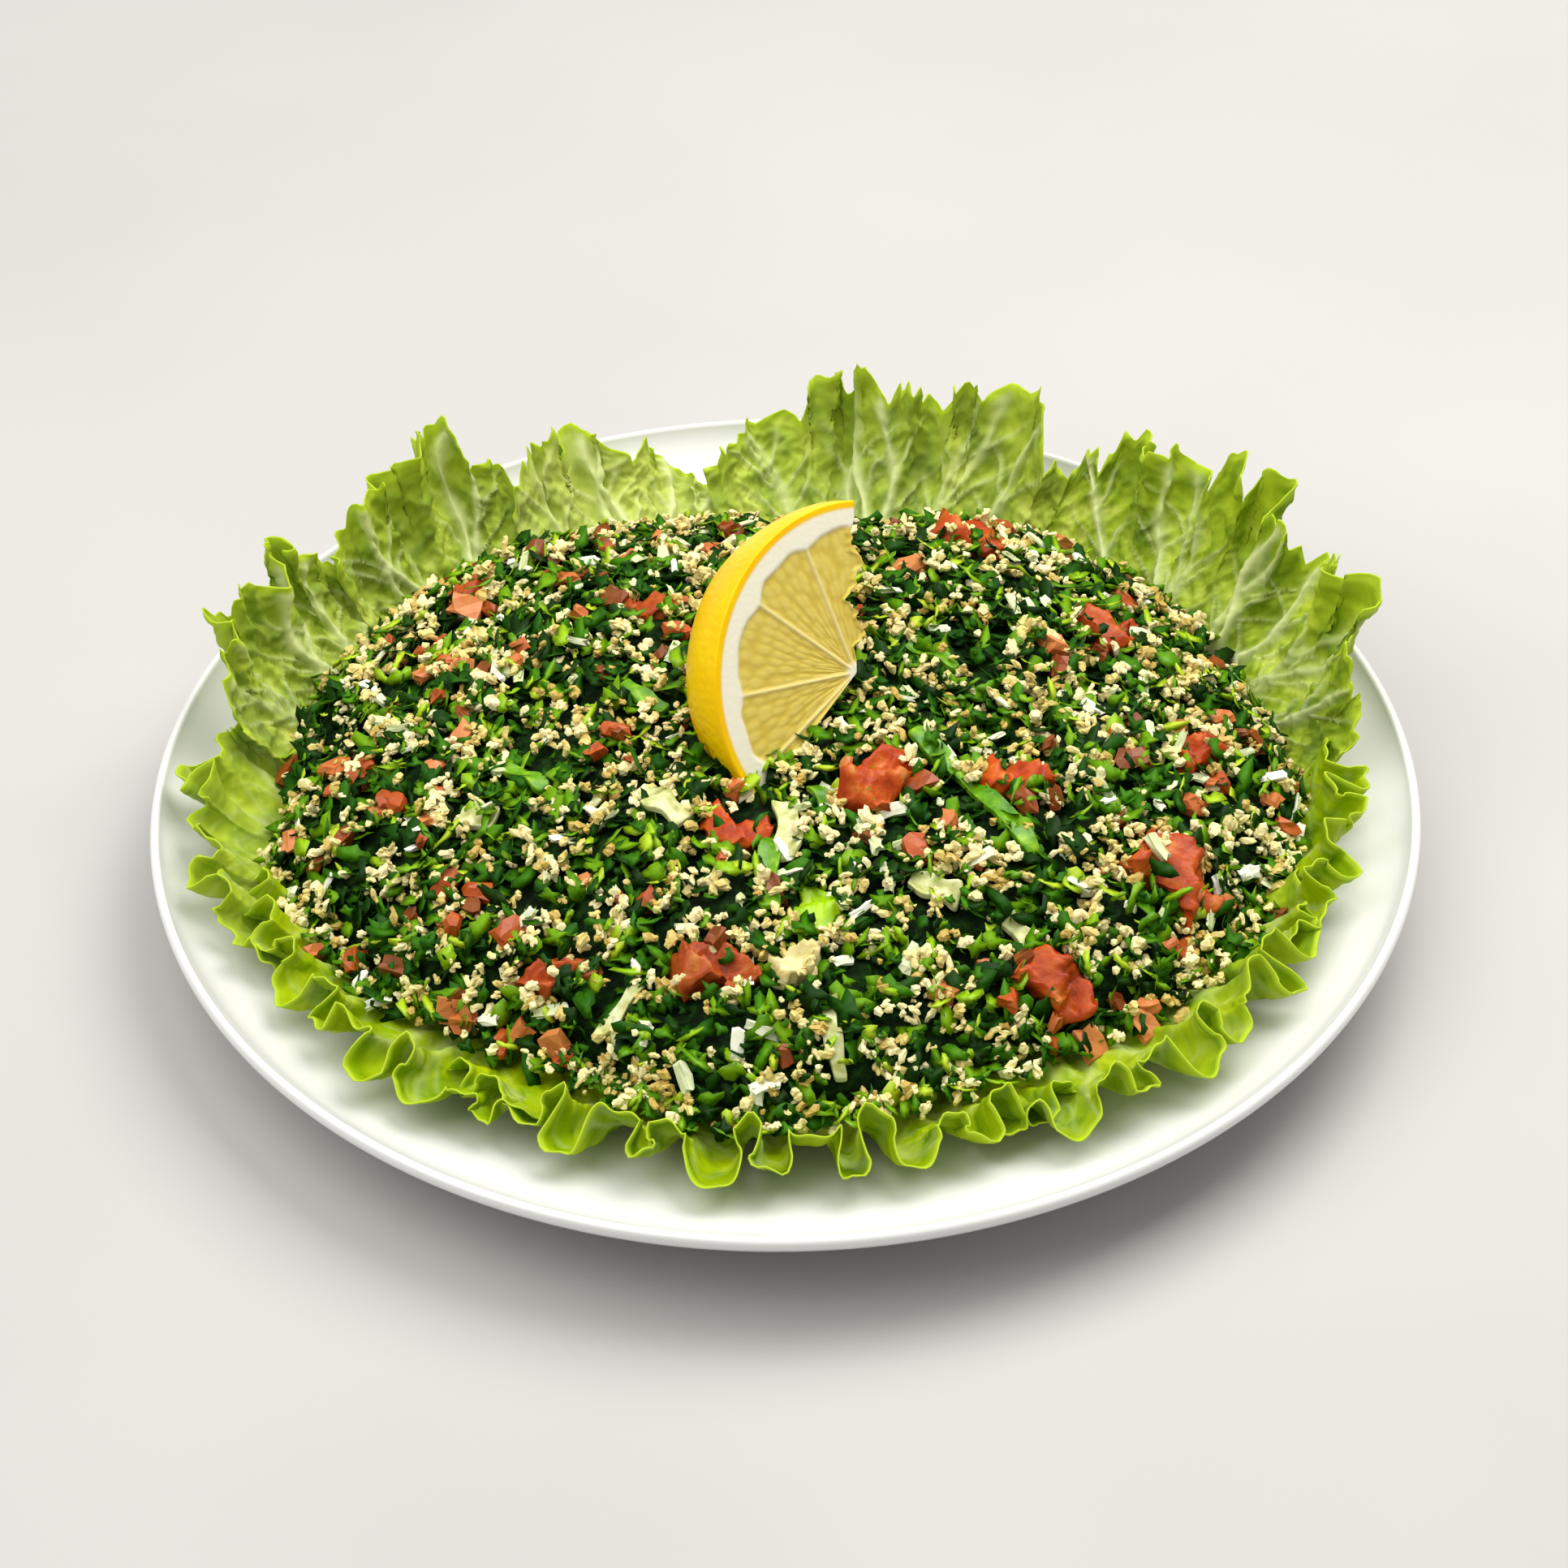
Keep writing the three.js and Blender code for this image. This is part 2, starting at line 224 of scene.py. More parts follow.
def bump_of(tree, shader, height, strength, distance):
    """Relief on a shader's surface, from a height socket."""
    bump = value_of(tree, "ShaderNodeBump", {"Height": height, "Strength": strength, "Distance": distance})
    tree.links.new(bump, shader.inputs["Normal"])


underside = [(0, 1.6), (60, 1.6), (63, 1.4), (64, 0.2), (64.6, 0), (67.4, 0), (68.2, 0.3), (70, 2.4)]
lip = [
    *bend((70, 2.4), (98, 4.6), (114, 13.2)),
    *bend((114, 13.2), (119.2, 16.2), (119.9, 18.2)),
    *bend((119.9, 18.2), (120.1, RIM_HEIGHT), (118.4, RIM_HEIGHT)),
    *bend((118.4, RIM_HEIGHT), (117, 16.2), (WELL_RADIUS, WELL_HEIGHT)),
]
well = [(radius, float(well_height(radius))) for radius in np.linspace(WELL_RADIUS - 1, FLOOR_RADIUS, 24)]
plate_profile = [*underside, *lip, *well, (30, FLOOR_HEIGHT), (0, FLOOR_HEIGHT)]

porcelain, tree, shader = finish_of(
    "white_porcelain", Roughness=0.16, IOR=1.5, Coat_Weight=0.4, Coat_Roughness=0.04
)
height = value_of(
    tree, "ShaderNodeSeparateXYZ", {0: value_of(tree, "ShaderNodeTexCoord", {}, "Object")}, "Z"
)
ground = value_of(tree, "ShaderNodeMath", {0: height, 1: 0.0002}, operation="LESS_THAN")
glaze = ramp_of(tree, noise_of(tree, 28.0), [(0.3, 224, 224, 222), (0.7, 231, 231, 229)])
tree.links.new(mixed(tree, ground, glaze, paint(214, 206, 190)), shader.inputs["Base Color"])
bump_of(tree, shader, noise_of(tree, 90.0, 1.0), 0.05, 0.0004)
plate = turned("porcelain_plate", plate_profile, SPIN_STEPS, porcelain)
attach(plate, "root")
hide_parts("plate")

# ---------------------------------------------------------------------------------------------------------
# The lettuce: ten frilled outer leaves laid round the plate with their cut ends under the heap. Each is one
# thin sheet that folds and ruffles towards its toothed margin, with pale ribs that branch out to it.

LEAF_ROOT = 0.84
LAYER_STEP = 1.7
LEAF_SHEET = 0.5
HEAP_MEAN_RADIUS = 90.5
TOOTH_PITCH = 2.9
LOBE_PITCH = 11.5
BLISTER_SIZE = 5.2
PUCKER_SIZE = 2.2

# name, middle and half width in degrees round the plate, radius of the bend, radius and height of the
# margin, how much higher its left side stands, ruffles, their height, how toothed it is, its layer, and how
# pale it is
LEAVES = [
    ("lettuce_back_centre", 77, 22, 100, 109, 37, -0.2, 5, 4, 1.1, 0, 0.25),
    ("lettuce_back_right", 28, 29, 106, 113, 41, 0.0, 6, 4, 1.2, 1, 0.1),
    ("lettuce_back_small", 109, 15, 99, 108, 25, 0.6, 3, 3.2, 1, 1, 0.6),
    ("lettuce_back_left", 135, 13, 102, 109, 40, 0.0, 3.5, 3.8, 1, 0, 0.2),
    ("lettuce_left_back", 158, 16, 106, 111, 38, 0.15, 3.5, 3.8, 1, 1, 0.25),
    ("lettuce_left", 186, 22, 102, 110, 24, 0.0, 6, 3.6, 0.7, 0, 0.2),
    ("lettuce_front_left", 217, 27, 97, 105, 21, 0.0, 8, 5.2, 0.25, 1, 0.0),
    ("lettuce_front", 267, 38, 90, 99, 21.5, 0.0, 11, 6, 0.1, 0, 0.0),
    ("lettuce_front_right", 318, 27, 97, 106, 22, 0.0, 8, 5.8, 0.12, 1, 0.05),
    ("lettuce_right", 351, 22, 100, 106, 24, 0.0, 6.5, 4.4, 0.4, 0, 0.0),
]


def heap_radius(azimuth):
    """The heap's uneven outline: broader left and right, with full back corners and drawn-in front ones."""
    corners = np.sin(azimuth) * np.sin(2 * azimuth) ** 2
    bumps = 0.8 * np.sin(7 * azimuth + 1) + 0.7 * np.sin(11 * azimuth + 2.4)
    return HEAP_MEAN_RADIUS + 6 * np.cos(2 * azimuth) + 9 * corners + bumps


def scramble(whole):
    """A fixed 0 to 1 value for each whole number."""
    return np.mod(np.sin(whole * 12.9898) * 43758.5453, 1.0)


def cells(u, v, size, salt):
    """Distance from each point to the nearest of scattered centres about size apart, as a share of size."""
    u, v = u / size, v / size
    nearest = np.full(u.shape, 9.0)
    for i in (-1, 0, 1):
        for j in (-1, 0, 1):
            cu, cv = np.floor(u) + i, np.floor(v) + j
            du = cu + 0.15 + 0.7 * scramble(cu * 7.1 + cv * 3.3 + salt) - u
            dv = cv + 0.15 + 0.7 * scramble(cu * 2.7 + cv * 9.2 + salt + 5) - v
            nearest = np.minimum(nearest, np.hypot(du, dv))
    return nearest


def smooth(low, high, value):
    share = np.clip((value - low) / (high - low), 0, 1)
    return share * share * (3 - 2 * share)


def standing(height):
    """1 for a leaf that stands up, 0 for one that lies low."""
    return smooth(24, 25, height)


def toothed(span, salt):
    """How far the margin reaches beyond the blade, in mm, along it in mm: uneven lobes with small teeth."""
    wander = span + 2.6 * np.sin(span / 8.0 + salt) + 0.9 * np.sin(span / 2.7 + 2 * salt)
    whole = np.floor(wander / TOOTH_PITCH)
    part = wander / TOOTH_PITCH - whole
    peak = 0.25 + 0.5 * scramble(whole + salt)
    tooth = np.minimum(part / peak, (1 - part) / (1 - peak)) * (0.5 + 2.9 * scramble(1.7 * whole + salt))
    lobe = np.abs(np.sin(np.pi * (wander / LOBE_PITCH + 0.3 * salt))) ** 0.9
    deep = 5.0 + 3.2 * np.sin(span / 7.3 + 2 * salt)
    return lobe * deep + tooth + 1.6 * np.sin(span / 4.9 + salt) - 4.0


def leaf_sheet(leaf, across, along):
    """Points of a leaf's middle sheet: across runs from -1 to 1 over its width, along from 0 at its cut end
    to 1 at its margin. Also gives how far out each point is on the blade."""
    name, azimuth, half, bend_radius, rim, height, lean, waves, ruffle, tooth, layer, pallor = leaf
    salt = azimuth
    middle, half = math.radians(azimuth), math.radians(half)
    swell = 0.88 + 0.12 * along
    drift = 0.8 * np.sin(0.62 * waves * np.pi * across + 2 * salt)
    phase = waves * np.pi * across + salt + drift
    along_margin = waves * across
    uneven = 0.78 + 0.3 * np.sin(1.37 * along_margin + salt) + 0.16 * np.sin(2.9 * along_margin + 2 * salt)
    rounded = 1 - 0.33 * np.abs(across) ** 4
    teeth = tooth * toothed(across * half * rim, salt % 7) * smooth(0.6, 1.0, along) / (18 + height)
    reach = along * rounded + teeth

    outer = np.clip(reach, 0, None)
    fold = ruffle * uneven * outer**1.8 * (1 - 0.6 * across**6) * np.sin(phase)
    coarse = (0.8 + 0.5 * tooth) * np.sin(2.7 * phase + 1.2 * salt)
    frill = outer**4 * (coarse + 0.45 * np.sin(6.1 * phase + salt))
    pitch = half / (waves * np.pi)
    overhang = -(0.9 - 0.4 * standing(height)) * pitch * np.sin(2 * phase) * outer**3
    sway = 0.5 * pitch * np.sin(0.7 * phase + 2 * salt) * outer**3
    turn = middle + half * swell * across + overhang + sway

    root = LEAF_ROOT * heap_radius(turn)
    rise = 1 - reach
    top = height * (1 + lean * across)
    root_height = well_height(root) + 1.2
    bend_height = well_height(np.float64(bend_radius)) - 1
    radius = rise**2 * root + 2 * rise * reach * bend_radius + reach**2 * rim
    level = rise**2 * root_height + 2 * rise * reach * bend_height + reach**2 * top
    out_r = 2 * rise * (bend_radius - root) + 2 * reach * (rim - bend_radius)
    out_z = 2 * rise * (bend_height - root_height) + 2 * reach * (top - bend_height)
    steep = np.hypot(out_r, out_z)
    offset = fold + frill + LAYER_STEP * layer
    radius = np.minimum(radius - out_z / steep * offset, PLATE_RADIUS - 2)
    lowest = well_height(radius) + 0.9 + LAYER_STEP * layer * (1 - outer)
    above = level + out_r / steep * offset - lowest
    level = lowest + 0.5 * (above + np.hypot(above, 1))
    points = np.stack([radius * np.cos(turn), radius * np.sin(turn), level], axis=-1)
    return points, reach


def rib_share(u, v, half_span, length, salt):
    """1 on a leaf's ribs, 0 between them, on the flat leaf in mm: a fan of ribs with finer side ribs."""
    rib = np.zeros(u.shape)
    fans = max(3, int(round(half_span / 5.5)))
    for k in range(fans):
        place = 2 * (k + 0.5) / fans - 1
        lean = place * 0.62 * half_span / length + 0.16 * math.sin(k * 2.3 + salt)
        centre = place * 0.38 * half_span + lean * v + 1.3 * np.sin(v / 5.5 + 1.7 * k + salt)
        width = 2.0 - 1.45 * v / length + 0.35 * np.sin(v / 2.1 + k)
        strength = 0.75 + 0.25 * math.sin(5.1 * k + salt)
        rib = np.maximum(rib, strength * np.exp(-(((u - centre) / np.clip(width, 0.3, None)) ** 2)))
        for side in (-1, 1):
            for step in range(3):
                joint = length * (0.15 + 0.22 * step + 0.08 * math.sin(3.1 * k + 5.7 * step + side + salt))
                beyond = v - joint
                branch = centre + side * (0.55 * beyond + 0.012 * beyond**2) + 0.5 * np.sin(beyond / 1.9 + k)
                thin = np.exp(-(((u - branch) / 0.5) ** 2)) * smooth(0, 1.5, beyond)
                rib = np.maximum(rib, 0.55 * thin * (1 - smooth(6, 16, beyond)))
    return rib


def leaf_piece(leaf, material):
    """One leaf as a closed thin sheet, with its ribs, blisters and margin kept as marks for the finish."""
    name, azimuth, half, bend_radius, rim, height, lean, waves, ruffle, tooth, layer, pallor = leaf
    half_span = math.radians(half) * rim
    length = 18.0 + height
    columns, rows = int(half_span * 2 / 0.36), int(44 + 0.7 * height)
    across, along = np.meshgrid(
        np.linspace(-1, 1, columns), 1 - (1 - np.linspace(0, 1, rows)) ** 1.25, indexing="ij"
    )
    points, reach = leaf_sheet(leaf, across, along)
    along_steps = np.gradient(points, axis=1)
    across_steps = np.gradient(points, axis=0)
    normals = np.cross(across_steps, along_steps)
    normals /= np.linalg.norm(normals, axis=-1, keepdims=True) + 1e-12

    upright = standing(height)
    u, v = across * half_span * (0.88 + 0.12 * along), reach * length
    rib = rib_share(u, v, half_span, length, azimuth % 11) * (0.4 + 0.6 * upright)
    blistered = cells(1.3 * u + 2.2 * np.sin(v / 3), 0.7 * v + 1.5 * np.sin(u / 4), BLISTER_SIZE, azimuth)
    puckered = cells(1.2 * u + np.sin(v), 0.8 * v + np.sin(u / 2), PUCKER_SIZE, azimuth + 3)
    blister, pucker = smooth(0.9, 0.1, blistered), smooth(0.9, 0.1, puckered)
    quilt = (blister + 0.5 * pucker) * smooth(0.0, 0.3, along) * (1 - 0.7 * rib)
    depth = (0.5 + 1.1 * upright) * (1 - 0.5 * smooth(0.85, 1, along))
    points = points + normals * (depth * (quilt - 0.5) - 0.5 * rib * upright)[..., None]
    sheet = (LEAF_SHEET * (1 - 0.45 * along) + 0.5 * rib * (1 - 0.6 * along))[..., None]
    upper, lower = points + normals * sheet / 2, points - normals * sheet / 2

    count = columns * rows
    grid = np.arange(count).reshape(columns, rows)
    quads = np.stack([grid[:-1, :-1], grid[1:, :-1], grid[1:, 1:], grid[:-1, 1:]], -1).reshape(-1, 4)
    border = np.concatenate([grid[:, 0], grid[-1, 1:], grid[-2::-1, -1], grid[0, -2:0:-1]])
    after = np.roll(border, -1)
    rims = np.stack([border, border + count, after + count, after], -1)
    faces = [*quads.tolist(), *(quads[:, ::-1] + count).tolist(), *rims.tolist()]
    points = np.concatenate([upper, lower]).reshape(-1, 3)
    piece = mesh_piece(name.replace("lettuce", "leaf"), points, faces, material)

    edge = smooth(0.955, 0.99, along)
    pale = upright * (1 - smooth(0.5, 1.0, reach))
    young = pallor + 0 * reach
    marks = {"rib": rib, "edge": edge, "quilt": np.clip(quilt, 0, 1), "pale": pale, "young": young}
    add_marks(piece.data, {mark: np.tile(values.reshape(-1), 2) for mark, values in marks.items()})
    return piece


def mark_of(tree, mark):
    """The value of a mark that a mesh carries."""
    return value_of(tree, "ShaderNodeAttribute", {}, "Fac", attribute_name=mark)


def add_marks(mesh, marks):
    """Values kept on a mesh's points by name."""
    for mark, values in marks.items():
        kept = mesh.attributes.new(mark, "FLOAT", "POINT")
        kept.data.foreach_set("value", np.asarray(values, np.float32).reshape(-1))


lettuce, tree, shader = finish_of("lettuce_leaf", Roughness=0.48, Specular_IOR_Level=0.1)
rib, edge, quilt, pale, young = (mark_of(tree, mark) for mark in ("rib", "edge", "quilt", "pale", "young"))
patch = noise_of(tree, 120.0, 5.0)
# Painted light and shade: blister tops are painted paler and yellower and the hollows between them darker,
# over random patches of the leaf's own tone; on the standing leaves' pale lower parts the painted shade runs
# deeper.
patches_and_blister_shade = value_of(tree, "ShaderNodeMath", {0: quilt, 1: 0.25, 2: patch}, operation="MULTIPLY_ADD")
green = ramp_of(tree, patches_and_blister_shade, [(0.4, 104, 140, 0), (0.6, 146, 180, 2), (0.85, 186, 208, 10)])
inner = ramp_of(
    tree, patches_and_blister_shade, [(0.35, 54, 90, 0), (0.55, 104, 140, 2), (0.75, 168, 194, 30), (0.9, 212, 226, 100)]
)
blade = mixed(tree, pale, green, inner)
blade = mixed(tree, young, blade, paint(224, 234, 130))
blade = mixed(tree, rib, blade, paint(238, 246, 180))
blade = mixed(tree, edge, blade, paint(204, 228, 60))
tree.links.new(blade, shader.inputs["Base Color"])
bump_of(tree, shader, noise_of(tree, 700.0, 3.0), 0.25, 0.0004)
glow = tree.nodes.new("ShaderNodeBsdfTranslucent")
tree.links.new(blade, glow.inputs["Color"])
through = value_of(tree, "ShaderNodeMixShader", {0: 0.3, 1: shader.outputs[0], 2: glow.outputs[0]})
tree.links.new(through, tree.nodes["Material Output"].inputs["Surface"])

for leaf in LEAVES:
    piece = leaf_piece(leaf, lettuce)
    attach(piece, "root")
    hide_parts(leaf[0])

# ---------------------------------------------------------------------------------------------------------
# The heap: dark, wet chopped salad, packed in the middle. Its near-black greens are partly the parsley's own
# dark green and partly painted shade for the deep gaps between the chopped pieces. Only the chopped pieces
# laid over it show, so this is the same heap drawn in by the depth that they fill.

HEAP_CROWN = 37.0
HEAP_EDGE = 14.0
CHOPPED_DEPTH = 2.2


def wobble(x, y):
    """A slow unevenness of the heap's top."""
    waves = np.sin(0.085 * x + 1.3) * np.cos(0.1 * y + 0.4)
    return waves + 0.6 * np.sin(0.19 * x - 0.15 * y + 2.1) + 0.4 * np.cos(0.27 * x + 0.23 * y)


def heap_shell(x, y, depth):
    """Height of the heap's top, drawn in by a depth."""
    share = np.clip(np.hypot(x, y) / (heap_radius(np.arctan2(y, x)) - depth), 0, 1)
    dome = (1 - share**2.4) ** 0.65
    lumps = 1.1 * wobble(x, y) + 0.8 * np.sin(0.55 * x + 0.3 * y) * np.cos(0.48 * y - 0.2 * x)
    return HEAP_EDGE + (HEAP_CROWN - depth - HEAP_EDGE) * dome + lumps * (1 - share**4)


def heap_under(x, y, depth):
    """The heap rests on the plate's floor in the middle and on the leaves round its edge."""
    radius = np.hypot(x, y)
    share = np.clip(radius / (heap_radius(np.arctan2(y, x)) - depth), 0, 1)
    well = well_height(radius) + 0.4
    lift = 5.4 + (HEAP_EDGE - well - 5.4) * smooth(0.81, 1, share)
    return well + lift * smooth(0.72, 0.81, share)


def heap_grid(depth, rings, spokes):
    """Points of the heap's top in rings from its edge inwards, closed by its crown."""
    shares = np.sin(np.linspace(np.pi / 2, 0, rings + 1))[:-1]
    azimuths = np.linspace(0, 2 * np.pi, spokes, endpoint=False)
    share, azimuth = np.meshgrid(shares, azimuths, indexing="ij")
    radius = share * (heap_radius(azimuth) - depth)
    return radius * np.cos(azimuth), radius * np.sin(azimuth)


def capped_faces(rings, spokes, start, pole, upward):
    """Faces of rings of points closed on a pole."""
    faces = []
    for k in range(spokes):
        after = (k + 1) % spokes
        for ring in range(rings - 1):
            low = start + ring * spokes
            faces.append((low + k, low + after, low + spokes + after, low + spokes + k))
        top = start + (rings - 1) * spokes
        faces.append((top + k, top + after, pole))
    return faces if upward else [face[::-1] for face in faces]


def heap_core(depth, rings, spokes, material):
    """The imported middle, top and underside sharing the ring of its edge."""
    x, y = heap_grid(depth, rings, spokes)
    top = np.stack([x, y, heap_shell(x, y, depth)], -1).reshape(-1, 3)
    under = np.stack([x[1:], y[1:], heap_under(x[1:], y[1:], depth)], -1).reshape(-1, 3)
    crown = (0, 0, float(heap_shell(np.float64(0), np.float64(0), depth)))
    base = (0, 0, float(heap_under(np.float64(0), np.float64(0), depth)))
    points = [*top, crown, *under, base]
    crown_index, base_index = len(top), len(points) - 1
    faces = capped_faces(rings, spokes, 0, crown_index, True)
    low = capped_faces(rings - 1, spokes, len(top) + 1, base_index, False)
    joint = len(top) + 1
    seam = [(k, joint + k, joint + (k + 1) % spokes, (k + 1) % spokes) for k in range(spokes)]
    return mesh_piece("packed_salad", points, [*faces, *low, *seam], material)


packed, tree, shader = finish_of("packed_salad", Roughness=0.85, Specular_IOR_Level=0.15)
# Painted shade: near-black greens stand for the deep gaps between the chopped pieces, over the dark green of
# the packed parsley.
gap_shade_tone = ramp_of(
    tree,
    noise_of(tree, 420.0, 4.0),
    [(0.35, 4, 16, 1), (0.5, 10, 36, 4), (0.65, 24, 60, 8), (0.8, 70, 86, 30)],
)
tree.links.new(gap_shade_tone, shader.inputs["Base Color"])
bump_of(tree, shader, noise_of(tree, 420.0, 4.0), 0.8, 0.002)
core = heap_core(CHOPPED_DEPTH, 60, 220, packed)
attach(core, "root")
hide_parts("tabbouleh")

# ---------------------------------------------------------------------------------------------------------
# The tomato: the twelve larger pieces of hand-chopped tomato that lie in the heap's surface, wet cut flesh
# with the skin on one side.

# place, length and turn in degrees of each piece
TOMATO_PIECES = [
    (70, -35, 18, -40),
    (17, -21, 15, 70),
    (38, 66, 15, -5),
    (63, 31, 12, 10),
    (42, -19, 12, -25),
    (78, -4, 11, 20),
    (47, -60, 14, -50),
    (-13, -62, 13, 15),
    (-42, -57, 10, 60),
    (-9, -31, 12, 0),
    (-26, 34, 10, -20),
    (-62, 50, 9, 35),
]


def diced(cuts, roundness):
    """Points and faces of a block one unit each way with its edges eased, with that many cuts each way."""
    ticks = np.linspace(-1, 1, cuts + 1)
    index, points, faces = {}, [], []

    def corner(place):
        key = tuple(int(round(value * 1000)) for value in place)
        if key not in index:
            index[key] = len(points)
            points.append(place)
        return index[key]

    for axis in range(3):
        for side in (-1, 1):
            for i in range(cuts):
                for j in range(cuts):
                    ring = [(ticks[i], ticks[j]), (ticks[i + 1], ticks[j])]
                    ring += [(ticks[i + 1], ticks[j + 1]), (ticks[i], ticks[j + 1])]
                    face = [corner(tuple(np.insert(np.array(pair), axis, side))) for pair in ring]
                    faces.append(tuple(face if (side > 0) != (axis == 1) else face[::-1]))
    points = np.array(points)
    points /= (np.abs(points) ** roundness).sum(1, keepdims=True) ** (1 / roundness)
    return points / 2, faces


def heap_surface(x, y):
    """Height of the heap's modelled outline, where its top pieces lie."""
    return float(heap_shell(np.float64(x), np.float64(y), 0.0))


SUNK_SHARE = 0.13


def chunk_piece(name, place, salt, flat, material):
    """A chunk in its place, leaning with the heap's surface."""
    x, y, length, turn = place
    points, faces = diced(20, 7.0)
    points *= (1.02, 0.62, 0.5)
    px, py, pz = points.T
    pulled = 0.1 * np.sin(9 * px + 7 * py + 5 * pz + 2.3 * salt)
    torn = 0.04 * np.sin(17 * px + 8 * py + 3 * salt) * np.cos(13 * py - 9 * px + 11 * pz)
    torn += 0.02 * np.sin(31 * px - 23 * py + 5 * salt) * np.cos(29 * pz + 21 * py + 17 * px)
    taper = 1 - 0.35 * px
    bowed = py * taper + 0.16 * np.cos(3 * px + salt)
    points = np.stack([px + 0.6 * pulled, bowed + torn, pz * taper + pulled + torn], -1)
    points -= (points.max(0) + points.min(0)) / 2
    points *= (length, length, length * flat)
    slope = Vector((
        heap_surface(x - 3, y) - heap_surface(x + 3, y),
        heap_surface(x, y - 3) - heap_surface(x, y + 3),
        6.0,
    ))
    lean = Vector((0, 0, 1)).rotation_difference(slope).to_matrix()
    turned_by = lean @ Matrix.Rotation(math.radians(turn), 3, "Z")
    turned_by = turned_by @ Matrix.Rotation(math.radians(12 * math.sin(salt)), 3, "Y")
    points = points @ np.array(turned_by).T + (x, y, heap_surface(x, y) - SUNK_SHARE * length)
    piece = mesh_piece(name, points, faces, material)
    add_marks(piece.data, {"skin": smooth(0.2, 0.3, py), "dull": np.full(len(px), scramble(salt + 3.0))})
    return piece


tomato, tree, shader = finish_of("tomato_flesh", Roughness=0.38, Specular_IOR_Level=0.25)
skin = mark_of(tree, "skin")
# Random tones of the cut flesh; the palest orange spots are painted highlights of its wet surface.
flesh = ramp_of(
    tree,
    noise_of(tree, 260.0, 4.0),
    [(0.3, 140, 40, 2), (0.46, 182, 60, 4), (0.6, 204, 92, 16), (0.74, 224, 150, 72)],
)
whole = mixed(tree, skin, flesh, paint(176, 50, 4))
duller = value_of(tree, "ShaderNodeMath", {0: mark_of(tree, "dull"), 1: 0.55}, operation="MULTIPLY")
tree.links.new(mixed(tree, duller, whole, paint(148, 72, 30)), shader.inputs["Base Color"])
bump_of(tree, shader, noise_of(tree, 420.0, 3.0), 0.5, 0.0008)
for number, place in enumerate(TOMATO_PIECES, 1):
    piece = chunk_piece(f"tomato_chunk_{number}", place, number - 1, 1.0, tomato)
    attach(piece, "root")
    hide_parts(f"tomato_{number}")

# ---------------------------------------------------------------------------------------------------------
# The two other large pieces that lie in front of the lemon: a folded bit of bright green leaf, and a block
# of onion steeped in the dressing. Both are pressed into the heap like the tomato.

GREEN_PLACE = (4.5, -50, 12, 75)
ONION_PLACE = (1.5, -62, 9, 10)

folded, tree, shader = finish_of("folded_green_leaf", Roughness=0.38, Specular_IOR_Level=0.3)
veins = noise_of(tree, 320.0, 4.0, (1.0, 0.35, 1.0))
leaf_green = ramp_of(tree, veins, [(0.35, 128, 178, 0), (0.55, 166, 206, 4), (0.7, 200, 226, 50)])
tree.links.new(leaf_green, shader.inputs["Base Color"])
bump_of(tree, shader, veins, 0.5, 0.0008)
green_piece = chunk_piece("green_leaf_chunk", GREEN_PLACE, 3, 0.5, folded)
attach(green_piece, "root")
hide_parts("green_leaf_piece")

steeped, tree, shader = finish_of("steeped_onion", Roughness=0.36, Specular_IOR_Level=0.3)
layers = noise_of(tree, 300.0, 4.0, (0.3, 1.0, 1.6))
onion_tone = ramp_of(tree, layers, [(0.35, 200, 176, 104), (0.5, 226, 212, 146), (0.68, 240, 234, 190)])
tree.links.new(onion_tone, shader.inputs["Base Color"])
bump_of(tree, shader, layers, 0.4, 0.0006)
onion_block = chunk_piece("onion_chunk", ONION_PLACE, 4, 1.0, steeped)
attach(onion_block, "root")
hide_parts("onion_piece")

# ---------------------------------------------------------------------------------------------------------
# The spring onion: a few long slit strips that lie in the heap's surface among the chopped pieces, green
# ones from the top of the stalk and pale ones from near its root.

# the two ends, width and sideways bow of each strip
GREEN_STRIPS = [
    ((24, -8), (45, -37), 3.4, 1.0),
    ((-2, -34), (-3, -52), 3.8, -0.8),
    ((5, -22), (8, -32), 2.6, 0.6),
    ((-52, -12), (-44, -19), 3.0, 0.5),
    ((-30, 8), (-22, 1), 2.8, -0.5),
    ((24, 20), (33, 12), 2.8, 0.6),
]
PALE_STRIPS = [
    ((0, -26), (0, -40), 4.6, 0.6),
    ((7, -68), (9, -80), 3.0, -0.5),
    ((39, -50), (47, -58), 3.4, 0.5),
    ((-34, -70), (-26, -62), 2.4, -0.6),
    ((-60, -22), (-53, -26), 4.2, 0.4),
    ((-18, -30), (-27, -22), 5.2, 0.5),
    ((22, -44), (31, -47), 4.4, -0.4),
]
STRIP_THICK = 1.5


def strip_shape(start, end, width, bow):
    """Points and faces of a slit strip that follows the heap's surface between two places."""
    (x0, y0), (x1, y1) = start, end
    length = math.hypot(x1 - x0, y1 - y0)
    points, faces = diced(10, 9.0)
    px, py, pz = 2 * points.T
    reach = 0.5 + 0.5 * px
    side = bow * (1 - px**2) + 0.5 * width * py * (1 + 0.2 * np.sin(5 * px + x0))
    x = x0 + (x1 - x0) * reach - (y1 - y0) / length * side
    y = y0 + (y1 - y0) * reach + (x1 - x0) / length * side
    curl = 0.35 * width * (0.5 * py) ** 2 + 0.5 * np.sin(4 * px + y0)
    z = heap_shell(x, y, 0.0) + 0.5 * STRIP_THICK * pz + curl - 0.2
    return np.stack([x, y, z], -1), faces


